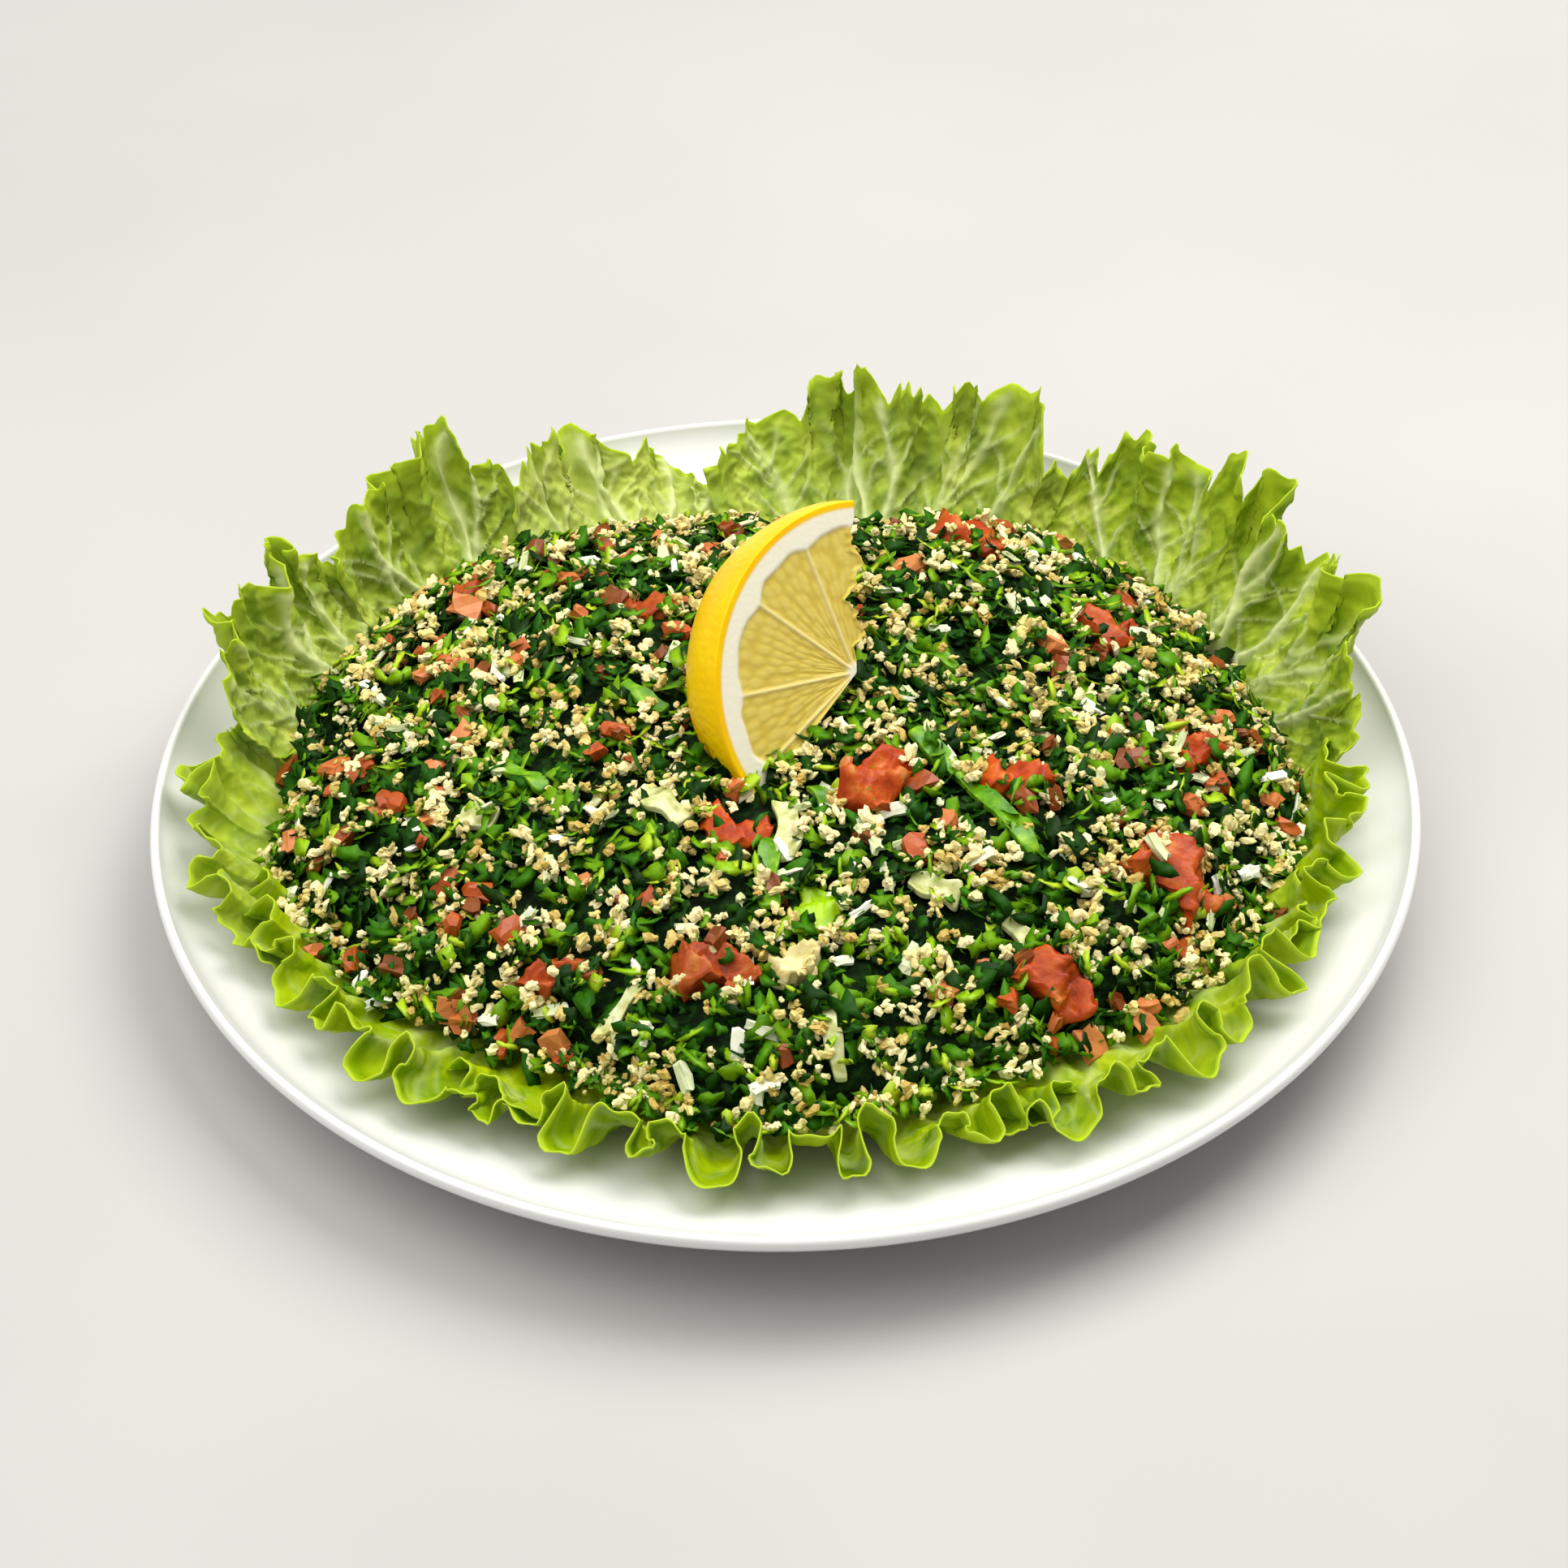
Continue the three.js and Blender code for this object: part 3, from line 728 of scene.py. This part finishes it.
def strips_piece(name, strips, material):
    """Several strips as one mesh."""
    points, faces = [], []
    for strip in strips:
        more, rings = strip_shape(*strip)
        faces += [tuple(index + len(points) for index in face) for face in rings]
        points += list(more)
    return mesh_piece(name, points, faces, material)


def strip_finish(name, stops):
    """A wet stalk, streaked unevenly."""
    material, tree, shader = finish_of(name, Roughness=0.34, Specular_IOR_Level=0.35)
    streaks = noise_of(tree, 380.0, 4.0)
    tree.links.new(ramp_of(tree, streaks, stops), shader.inputs["Base Color"])
    bump_of(tree, shader, streaks, 0.4, 0.0006)
    return material


green_stalk = strip_finish(
    "green_stalk", [(0.35, 60, 122, 2), (0.55, 104, 158, 6), (0.7, 150, 192, 40)]
)
pale_stalk = strip_finish(
    "pale_stalk", [(0.35, 170, 172, 96), (0.5, 200, 204, 136), (0.7, 228, 232, 186)]
)
for name, strips, material in (
    ("green_stalk_strips", GREEN_STRIPS, green_stalk),
    ("pale_stalk_strips", PALE_STRIPS, pale_stalk),
):
    piece = strips_piece(name, strips, material)
    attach(piece, "root")
    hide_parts("tabbouleh")

# ---------------------------------------------------------------------------------------------------------
# The chopped salad: parsley leaf chopped small, soaked bulgur in loose clumps, diced tomato, young leaf and
# white onion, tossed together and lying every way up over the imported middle.

LAID_DEPTH = 1.9
SPILL_WIDTH = 6.0
SPILL_DROP = 1.5
rng = np.random.default_rng(7)


def laid_bed():
    """The surface that the chopped pieces are strewn on, with where each kind lies as attributes."""
    rings, spokes = 140, 420
    x, y = heap_grid(LAID_DEPTH, rings, spokes)
    level = heap_shell(x, y, LAID_DEPTH)
    low_leaves = smooth(0.1, -0.35, y[0] / np.hypot(x[0], y[0]))
    spread = (0.3 + SPILL_WIDTH * low_leaves) * np.array([[1.0], [0.5]])
    drop = SPILL_DROP * np.array([[1.0], [0.4]])
    outwards = 1 + spread / np.hypot(x[0], y[0])
    x, y = np.vstack([x[0] * outwards, x]), np.vstack([y[0] * outwards, y])
    level = np.vstack([level[0] - drop, level])
    points = np.stack([x, y, level], -1).reshape(-1, 3)
    points = np.vstack([points, (0, 0, heap_surface(0, 0) - LAID_DEPTH)])
    px, py = points[:, 0], points[:, 1]
    clear = np.ones(len(points))
    covered = [(*place, 0.16) for place in TOMATO_PIECES] + [(*GREEN_PLACE, 0.01), (*ONION_PLACE, 0.03)]
    for tx, ty, length, _, crumbs_left in covered:
        beyond = smooth(0.18 * length, 0.44 * length, np.hypot(px - tx, py - ty))
        clear *= crumbs_left + (1 - crumbs_left) * beyond
        points[:, 2] += 0.2 * length * (1 - beyond)
    for (x0, y0), (x1, y1), width, _ in [*GREEN_STRIPS, *PALE_STRIPS]:
        run = np.array([x1 - x0, y1 - y0])
        nearest = np.clip(((px - x0) * run[0] + (py - y0) * run[1]) / (run @ run), 0, 1)
        away = np.hypot(px - x0 - nearest * run[0], py - y0 - nearest * run[1])
        clear *= 0.2 + 0.8 * smooth(0.2 * width, 0.6 * width, away)
    patches = smooth(0.48, 0.28, cells(px + 3 * np.sin(py / 6), py + 2 * np.sin(px / 9), 12.5, 3)) * 1.2
    patches += smooth(0.42, 0.2, cells(px, py + 2 * np.sin(px / 5), 5.6, 8)) * 0.6
    marks = {"herb_share": clear, "grain_share": clear * (0.05 + patches), "bit_share": clear}
    bed = mesh_piece("strewn_bed", points, capped_faces(rings + 2, spokes, 0, len(points) - 1, True), packed)
    add_marks(bed.data, marks)
    return bed


def strewing_tree():
    """Geometry nodes that strew the pieces of a collection over a bed, each one leant, turned and sized."""
    tree = bpy.data.node_groups.new("strew_over_bed", "GeometryNodeTree")
    sockets = [
        ("Bed", "NodeSocketGeometry"),
        ("Pieces", "NodeSocketCollection"),
        ("Pieces per square metre", "NodeSocketFloat"),
        ("Share", "NodeSocketString"),
        ("Smallest", "NodeSocketFloat"),
        ("Largest", "NodeSocketFloat"),
        ("Deepest", "NodeSocketFloat"),
        ("Highest", "NodeSocketFloat"),
        ("Lean", "NodeSocketFloat"),
        ("Seed", "NodeSocketInt"),
        ("Finish", "NodeSocketMaterial"),
    ]
    for name, kind in sockets:
        tree.interface.new_socket(name, in_out="INPUT", socket_type=kind)
    tree.interface.new_socket("Strewn", in_out="OUTPUT", socket_type="NodeSocketGeometry")
    given = tree.nodes.new("NodeGroupInput").outputs
    result = tree.nodes.new("NodeGroupOutput")

    def chance(low, high, step, data_type="FLOAT"):
        node = tree.nodes.new("FunctionNodeRandomValue")
        node.data_type = data_type
        low_socket, high_socket = {"FLOAT": (2, 3), "FLOAT_VECTOR": (0, 1), "INT": (4, 5)}[data_type]
        for socket, value in ((low_socket, low), (high_socket, high)):
            if isinstance(value, bpy.types.NodeSocket):
                tree.links.new(value, node.inputs[socket])
            else:
                node.inputs[socket].default_value = value
        seed = value_of(tree, "ShaderNodeMath", {0: given["Seed"], 1: step}, operation="ADD")
        tree.links.new(seed, node.inputs["Seed"])
        return node.outputs[{"FLOAT": 1, "FLOAT_VECTOR": 0, "INT": 2}[data_type]]

    share = tree.nodes.new("GeometryNodeInputNamedAttribute")
    share.data_type = "FLOAT"
    tree.links.new(given["Share"], share.inputs["Name"])
    wanted = {0: given["Pieces per square metre"], 1: share.outputs[0]}
    density = value_of(tree, "ShaderNodeMath", wanted, operation="MULTIPLY")
    spots = tree.nodes.new("GeometryNodeDistributePointsOnFaces")
    tree.links.new(given["Bed"], spots.inputs["Mesh"])
    tree.links.new(density, spots.inputs["Density"])
    tree.links.new(given["Seed"], spots.inputs["Seed"])
    lifted = value_of(
        tree,
        "ShaderNodeVectorMath",
        {0: spots.outputs["Normal"], "Scale": chance(given["Deepest"], given["Highest"], 1)},
        operation="SCALE",
    )
    placed = value_of(
        tree, "GeometryNodeSetPosition", {"Geometry": spots.outputs["Points"], "Offset": lifted}
    )

    least = value_of(tree, "ShaderNodeMath", {0: given["Lean"], 1: -1.0}, operation="MULTIPLY")
    low = value_of(tree, "ShaderNodeCombineXYZ", {"X": least, "Y": least, "Z": 0.0})
    high = value_of(tree, "ShaderNodeCombineXYZ", {"X": given["Lean"], "Y": given["Lean"], "Z": 2 * math.pi})
    turn = value_of(tree, "FunctionNodeEulerToRotation", {0: chance(low, high, 2, "FLOAT_VECTOR")})
    rotation = value_of(
        tree,
        "FunctionNodeRotateRotation",
        {"Rotation": spots.outputs["Rotation"], "Rotate By": turn},
        rotation_space="LOCAL",
    )
    kinds = value_of(
        tree,
        "GeometryNodeCollectionInfo",
        {"Collection": given["Pieces"], "Separate Children": True, "Reset Children": True},
    )
    strewn = value_of(
        tree,
        "GeometryNodeInstanceOnPoints",
        {
            "Points": placed,
            "Instance": kinds,
            "Pick Instance": True,
            "Instance Index": chance(0, 99, 3, "INT"),
            "Rotation": rotation,
            "Scale": chance(given["Smallest"], given["Largest"], 4),
        },
    )
    toned = value_of(
        tree,
        "GeometryNodeStoreNamedAttribute",
        {"Geometry": strewn, "Name": "tone", "Value": chance(0.0, 1.0, 5)},
        data_type="FLOAT",
        domain="INSTANCE",
    )
    whole = value_of(tree, "GeometryNodeRealizeInstances", {"Geometry": toned})
    finished = value_of(tree, "GeometryNodeSetMaterial", {"Geometry": whole, "Material": given["Finish"]})
    tree.links.new(finished, result.inputs["Strewn"])
    return tree


def kinds_of(name, shapes, smooth_shaded=False):
    """A collection of the shapes that one kind of chopped piece comes in."""
    kinds = bpy.data.collections.new(name)
    for number, (points, faces) in enumerate(shapes, 1):
        shape = mesh_piece(f"{name}_{number}", points, faces, packed, smooth_shaded)
        bpy.context.scene.collection.objects.unlink(shape)
        kinds.objects.link(shape)
    return kinds


def strewn_piece(name, bed, tree, slot, **inputs):
    """One kind of chopped piece strewn over the bed, as a plain mesh."""
    modifier = bed.modifiers.new("strew", "NODES")
    modifier.node_group = tree
    sockets = {item.name: item.identifier for item in tree.interface.items_tree if item.in_out == "INPUT"}
    for given, value in inputs.items():
        modifier[sockets[given.replace("_", " ")]] = value
    evaluated = bed.evaluated_get(bpy.context.evaluated_depsgraph_get())
    mesh = bpy.data.meshes.new_from_object(evaluated)
    mesh.name = name
    bed.modifiers.remove(modifier)
    piece = bpy.data.objects.new(name, mesh)
    bpy.context.scene.collection.objects.link(piece)
    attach(piece, "root")
    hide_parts("tabbouleh")
    return piece


def herb_flake(length, width, lobes, cup):
    """A chopped bit of leaf: thin, cupped and creased, with a lobed and cut outline."""
    corners = 11
    angle = np.linspace(0, 2 * np.pi, corners, endpoint=False) + rng.uniform(0, 1)
    lobed = 0.26 * np.cos(lobes * angle + rng.uniform(0, 6))
    reach = 0.5 * (0.76 + lobed + rng.uniform(-0.2, 0.16, corners))
    x, y = reach * np.cos(angle) * length, reach * np.sin(angle) * width
    crease = cup * np.abs(y) * rng.uniform(0.3, 1.1)
    z = cup * (x / length) ** 2 * length + crease + rng.uniform(-0.3, 0.3, corners)
    points = [*np.stack([x, y, z], -1), (0, 0, 0.12), (0, 0, -0.1)]
    faces = [(k, (k + 1) % corners, corners) for k in range(corners)]
    faces += [((k + 1) % corners, k, corners + 1) for k in range(corners)]
    return points, faces


def grain(length, width, place=(0, 0, 0)):
    """A cracked and swollen grain of bulgur, angular where it was cracked."""
    around, rings = 5, 3
    points = [(-length / 2, 0, 0)]
    for ring in range(rings):
        share = (ring + 0.6) / (rings + 0.2)
        girth = width / 2 * math.sin(math.pi * share) ** 0.5
        for k in range(around):
            angle = 2 * math.pi * (k + 0.5 * (ring % 2)) / around
            swell = girth * rng.uniform(0.55, 1.35)
            along = length * (share - 0.5) + rng.uniform(-0.25, 0.25)
            points.append((along, swell * math.cos(angle), 0.8 * swell * math.sin(angle)))
    points.append((length / 2, 0, 0))
    faces = [(0, 1 + (k + 1) % around, 1 + k) for k in range(around)]
    for ring in range(rings - 1):
        low = 1 + ring * around
        for k in range(around):
            after = (k + 1) % around
            faces += [(low + k, low + after, low + around + after, low + around + k)]
    last = len(points) - 1
    low = 1 + (rings - 1) * around
    faces += [(last, low + k, low + (k + 1) % around) for k in range(around)]
    turn = Matrix.Rotation(rng.uniform(0, 6), 3, "Z")
    lean = Matrix.Rotation(rng.uniform(-0.7, 0.7), 3, "Y")
    return np.array(points) @ np.array(turn @ lean).T + place, faces


def clump(grains, spread):
    """Grains that cling together."""
    points, faces = [], []
    for _ in range(grains):
        place = (*rng.uniform(-spread, spread, 2), rng.uniform(-0.3, 0.7) * spread)
        more, rings = grain(rng.uniform(1.8, 3.6), rng.uniform(1.3, 2.3), place)
        faces += [tuple(index + len(points) for index in face) for face in rings]
        points += list(more)
    return points, faces


def chopped(length, width, thick, ease=9.0):
    """A small uneven block, such as a dice of tomato or a slice of onion."""
    points, faces = diced(2, ease)
    pulled = rng.uniform(0.6, 1.25, (len(points), 3))
    bow = 0.5 * points[:, :1] ** 2 * length * rng.uniform(-0.6, 0.6)
    points = points * pulled * (length, width, thick)
    points[:, 2:] += bow
    return points, faces


bed = laid_bed()
strewing = strewing_tree()


# how far the tone strays within one chopped piece
UNEVENNESS = 0.35


def tone_finish(name, stops, roughness, bump_scale, shine):
    """A finish whose colour goes from piece to piece by its tone, with a little unevenness within each."""
    material, tree, shader = finish_of(name, Roughness=roughness, Specular_IOR_Level=shine)
    spots = noise_of(tree, 600.0, 2.0)
    given = {0: spots, 1: UNEVENNESS, 2: mark_of(tree, "tone")}
    uneven = value_of(tree, "ShaderNodeMath", given, operation="MULTIPLY_ADD")
    shifted = value_of(tree, "ShaderNodeMath", {0: uneven, 1: UNEVENNESS / 2}, operation="SUBTRACT")
    tree.links.new(ramp_of(tree, shifted, stops), shader.inputs["Base Color"])
    bump_of(tree, shader, noise_of(tree, bump_scale, 2.0), 0.4, 0.0003)
    return material


parsley = tone_finish(
    "parsley_leaf",
    [(0.05, 16, 48, 0), (0.4, 30, 84, 0), (0.7, 62, 122, 0), (0.95, 112, 160, 4)],
    0.5, 900.0, 0.15,
)
young_leaf = tone_finish(
    "young_leaf", [(0.1, 92, 148, 4), (0.5, 146, 190, 8), (0.9, 184, 210, 40)], 0.4, 900.0, 0.3
)
bulgur = tone_finish(
    "soaked_bulgur", [(0.1, 198, 168, 84), (0.3, 228, 208, 128), (0.8, 248, 236, 180)], 0.5, 1500.0, 0.3
)
tomato_bits = tone_finish(
    "diced_tomato", [(0.1, 128, 66, 24), (0.5, 180, 78, 24), (0.9, 206, 128, 70)], 0.36, 700.0, 0.35
)
onion = tone_finish(
    "white_onion", [(0.1, 206, 216, 160), (0.6, 230, 234, 200), (0.9, 244, 244, 228)], 0.35, 500.0, 0.35
)

herb_kinds = kinds_of(
    "parsley_flake",
    [herb_flake(rng.uniform(4.6, 8.4), rng.uniform(3.4, 5.8), k % 3 + 2, 0.35) for k in range(9)],
    smooth_shaded=True,
)
young_kinds = kinds_of(
    "young_flake",
    [herb_flake(rng.uniform(4.4, 8.0), rng.uniform(2.6, 4.4), 2, 0.35) for _ in range(6)],
    smooth_shaded=True,
)
grain_kinds = kinds_of("bulgur_grain", [clump(k % 4 + 1, 0.5 + 0.45 * (k % 4)) for k in range(10)])
tomato_kinds = kinds_of(
    "tomato_dice",
    [chopped(rng.uniform(4, 8), rng.uniform(3, 5), rng.uniform(2, 3.5)) for _ in range(6)],
)
onion_kinds = kinds_of(
    "onion_slice",
    [chopped(rng.uniform(3.5, 7), rng.uniform(1.6, 3), rng.uniform(0.8, 1.3)) for _ in range(5)],
)

# name, slot, kinds, finish, pieces to the square metre, the bed's share, least and greatest scale, least and
# greatest height over the bed in metres, lean and seed
LAID_OVER = [
    ("chopped_parsley", "tabbouleh", herb_kinds, parsley,
     140000, "herb_share", 0.5, 1.2, 0, 0.0028, 0.75, 11),
    ("young_leaf_bits", "tabbouleh", young_kinds, young_leaf,
     26000, "bit_share", 0.5, 1.15, 0.0012, 0.0034, 0.7, 23),
    ("bulgur_grains", "tabbouleh", grain_kinds, bulgur,
     125000, "grain_share", 0.55, 1.2, 0.0004, 0.0034, 0.9, 37),
    ("tomato_dice", "tomato", tomato_kinds, tomato_bits,
     5600, "bit_share", 0.5, 1.2, 0.0008, 0.0026, 0.6, 41),
    ("onion_slices", "onion", onion_kinds, onion,
     8500, "bit_share", 0.6, 1.1, 0.0014, 0.003, 0.6, 53),
]
for name, slot, kinds, finish, number, share, least, most, low, high, lean, seed in LAID_OVER:
    strewn_piece(
        name, bed, strewing, slot, Pieces=kinds, Pieces_per_square_metre=float(number), Share=share,
        Smallest=least, Largest=most, Deepest=float(low), Highest=high, Lean=lean, Seed=seed, Finish=finish,
    )
bpy.data.objects.remove(bed)

# ---------------------------------------------------------------------------------------------------------
# The lemon: a third of a lemon half, cut across the fruit, so that its cut face shows the rind, the pith and
# the segments between their membranes. It stands on one edge, pressed into the top of the heap.

LEMON_RADIUS = 32.0
LEMON_TIP = 1.24 * LEMON_RADIUS
FIRST_CUT, LAST_CUT = math.radians(12), math.radians(147)
MEMBRANES = [math.radians(a) for a in (37, 69.5, 108, 140)]
ZEST_DEPTH = 1.3
PITH_DEPTH = 3.7
LEMON_CENTRE = np.array([13.8, 1.5, 43.6])
face_normal = Vector((0.58, -0.68, 0.45)).normalized()
up_face = Vector((0.17, 0.64, 0.75))
up_face = (up_face - face_normal * up_face.dot(face_normal)).normalized()
LEMON_AXES = np.array([up_face, face_normal.cross(up_face), face_normal])


def lemon_outline(count):
    """Radius and depth of the peel from the cut face to the tip, evenly spaced."""
    t = np.linspace(1, 0, 200)[:, None]
    neck, shoulder = np.array((5.5, LEMON_TIP - 3.5)), np.array((9, 0.98 * LEMON_RADIUS))
    cheek, girdle = np.array((LEMON_RADIUS, 0.72 * LEMON_RADIUS)), np.array((LEMON_RADIUS, 0))
    curve = (1 - t) ** 3 * neck + 3 * t * (1 - t) ** 2 * shoulder
    curve = curve + 3 * t**2 * (1 - t) * cheek + t**3 * girdle
    nub = bend(neck, (4.5, LEMON_TIP), (0, LEMON_TIP), 12)
    line = np.vstack([curve, nub])
    run = np.concatenate([[0], np.cumsum(np.hypot(*np.diff(line, axis=0).T))])
    even = np.linspace(0, run[-1], count)
    return np.interp(even, run, line[:, 0]), np.interp(even, run, line[:, 1])


def lemon_marks(radius, limit, angle, flat_u, flat_v):
    """Where the cut shows zest, pith, membrane and juice sacs, by the distance to the peel and the angle."""
    to_peel = limit - radius
    nearest = np.min([np.abs(angle - m) for m in MEMBRANES], axis=0) * radius
    inner = ZEST_DEPTH + PITH_DEPTH + 1.3 * (1 - smooth(0.0, 4.5, nearest)) + 0.25 * np.sin(flat_u * 1.3)
    zest = 1 - smooth(ZEST_DEPTH - 0.35, ZEST_DEPTH + 0.35, to_peel)
    pith = 1 - smooth(inner - 0.5, inner + 0.5, to_peel)
    pith = np.maximum(pith, 1 - smooth(1.2, 2.6, radius))
    membrane = np.exp(-((nearest / 0.42) ** 2)) * (1 - pith)
    from_sac = cells(flat_u, flat_v, 1.0, 4) + 0.12 * np.sin(2.1 * flat_u) * np.sin(1.7 * flat_v)
    sacs = smooth(0.75, 0.15, from_sac) * (1 - pith) * (1 - membrane)
    return {"zest": zest, "pith": pith * (1 - zest), "membrane": membrane, "sacs": sacs}


def jagged(radius):
    """The torn edge of the flesh at the first cut, in mm."""
    torn = 1.5 * np.sin(radius * 0.52 + 0.6)
    torn = torn + 0.7 * np.sin(radius * 1.4 + 1) + 0.3 * np.sin(radius * 3.6 + 2)
    return torn * smooth(2, 6, radius) * smooth(LEMON_RADIUS - 3, LEMON_RADIUS - 8, radius)


def grid_faces(columns, rows, start):
    grid = start + np.arange(columns * rows).reshape(columns, rows)
    return np.stack([grid[:-1, :-1], grid[1:, :-1], grid[1:, 1:], grid[:-1, 1:]], -1).reshape(-1, 4).tolist()


def lemon_piece(material):
    """The wedge from its cut face, its peel and its two radial cuts, welded along their shared edges."""
    across, deep, around = 90, 90, 210
    limit, depth = lemon_outline(deep)
    patches = []

    share, turn = np.meshgrid(np.linspace(0, 1, across), np.linspace(0, 1, around), indexing="ij")
    radius = share * LEMON_RADIUS
    angle = FIRST_CUT + (LAST_CUT - FIRST_CUT) * turn
    angle = angle + (1 - turn) ** 6 * jagged(radius) / np.clip(radius, 1, None)
    marks = lemon_marks(radius, LEMON_RADIUS, angle, angle * 12.0, radius / 3.4)
    edge = smooth(0, 0.03, turn) * smooth(1, 0.97, turn) * smooth(1, 0.97, share) * smooth(0, 0.03, share)
    sunk = 0.45 * (1 - marks["pith"] - marks["zest"])
    relief = (0.12 * marks["sacs"] - sunk + 0.35 * marks["membrane"]) * edge
    patches.append((radius * np.cos(angle), radius * np.sin(angle), relief, marks))

    turn, step = np.meshgrid(np.linspace(0, 1, around), np.arange(deep), indexing="ij")
    angle = FIRST_CUT + (LAST_CUT - FIRST_CUT) * turn
    rim, sunk = limit[step], depth[step]
    edge = smooth(0, 0.03, turn) * smooth(1, 0.97, turn)
    edge = edge * smooth(0, 3, step) * smooth(deep - 1, deep - 5, step)
    pits = smooth(0.0, 0.5, cells(angle * 24, sunk, 1.5, 6)) * 0.16 - 0.16
    swell = 1 + (pits + 0.25 * np.sin(angle * 5) * np.sin(sunk / 4)) * edge / LEMON_RADIUS
    whole = {"zest": np.ones(turn.shape), "pith": 0 * turn, "membrane": 0 * turn, "sacs": 0 * turn}
    patches.append((rim * swell * np.cos(angle), rim * swell * np.sin(angle), -sunk, whole))

    share, step = np.meshgrid(np.linspace(0, 1, across), np.arange(deep), indexing="ij")
    rim, sunk = limit[step], depth[step]
    radius = share * rim
    for cut, torn in ((FIRST_CUT, 1.0), (LAST_CUT, 0.0)):
        fade = (1 - step / (deep - 1)) ** 6
        grain_run = share * LEMON_RADIUS + 2.4 * np.sin(0.45 * sunk) * np.sin(0.2 * share * LEMON_RADIUS)
        angle = cut + torn * jagged(grain_run) * fade / np.clip(share * LEMON_RADIUS, 1, None)
        to_peel = np.minimum(rim - radius, (LEMON_TIP - sunk) * 0.6)
        marks = lemon_marks(radius, radius + to_peel, cut + 0.5 + 0 * angle, sunk / 3.2, radius / 1.6)
        patches.append((radius * np.cos(angle), radius * np.sin(angle), -sunk, marks))

    points, faces, kept = [], [], {mark: [] for mark in ("zest", "pith", "membrane", "sacs")}
    for x, y, z, marks in patches:
        faces += grid_faces(*x.shape, sum(len(p) for p in points))
        points.append(np.stack([x, y, z], -1).reshape(-1, 3))
        for mark, values in marks.items():
            kept[mark].append(values.reshape(-1))
    points = np.vstack(points)
    _, first, same = np.unique(np.round(points, 3), axis=0, return_index=True, return_inverse=True)
    same = same.reshape(-1)
    faces = [tuple(dict.fromkeys(same[list(face)].tolist())) for face in faces]
    placed = points[first] @ LEMON_AXES + LEMON_CENTRE
    piece = mesh_piece("lemon", placed, [face for face in faces if len(face) > 2], material)
    add_marks(piece.data, {mark: np.concatenate(values)[first] for mark, values in kept.items()})
    shell = bmesh.new()
    shell.from_mesh(piece.data)
    bmesh.ops.recalc_face_normals(shell, faces=shell.faces)
    shell.to_mesh(piece.data)
    shell.free()
    return piece


lemon, tree, shader = finish_of("lemon", IOR=1.42, Specular_IOR_Level=0.22)
shader.inputs["Subsurface Weight"].default_value = 0.12
shader.inputs["Subsurface Scale"].default_value = 0.003
zest, pith, membrane, sacs = (mark_of(tree, mark) for mark in ("zest", "pith", "membrane", "sacs"))
juice = ramp_of(tree, sacs, [(0.0, 216, 190, 80), (0.5, 222, 198, 90), (1.0, 228, 206, 104)])
cut = mixed(tree, membrane, juice, paint(238, 222, 150))
cut = mixed(tree, pith, cut, paint(247, 242, 220))
peel = ramp_of(tree, noise_of(tree, 60.0, 3.0), [(0.3, 253, 192, 0), (0.7, 255, 214, 0)])
tree.links.new(mixed(tree, zest, cut, peel), shader.inputs["Base Color"])
matt = value_of(tree, "ShaderNodeMath", {0: pith, 1: 0.35, 2: 0.3}, operation="MULTIPLY_ADD")
tree.links.new(matt, shader.inputs["Roughness"])
bump_of(tree, shader, noise_of(tree, 1100.0, 2.0), 0.2, 0.0003)
piece = lemon_piece(lemon)
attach(piece, "root")
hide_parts("lemon_wedge")
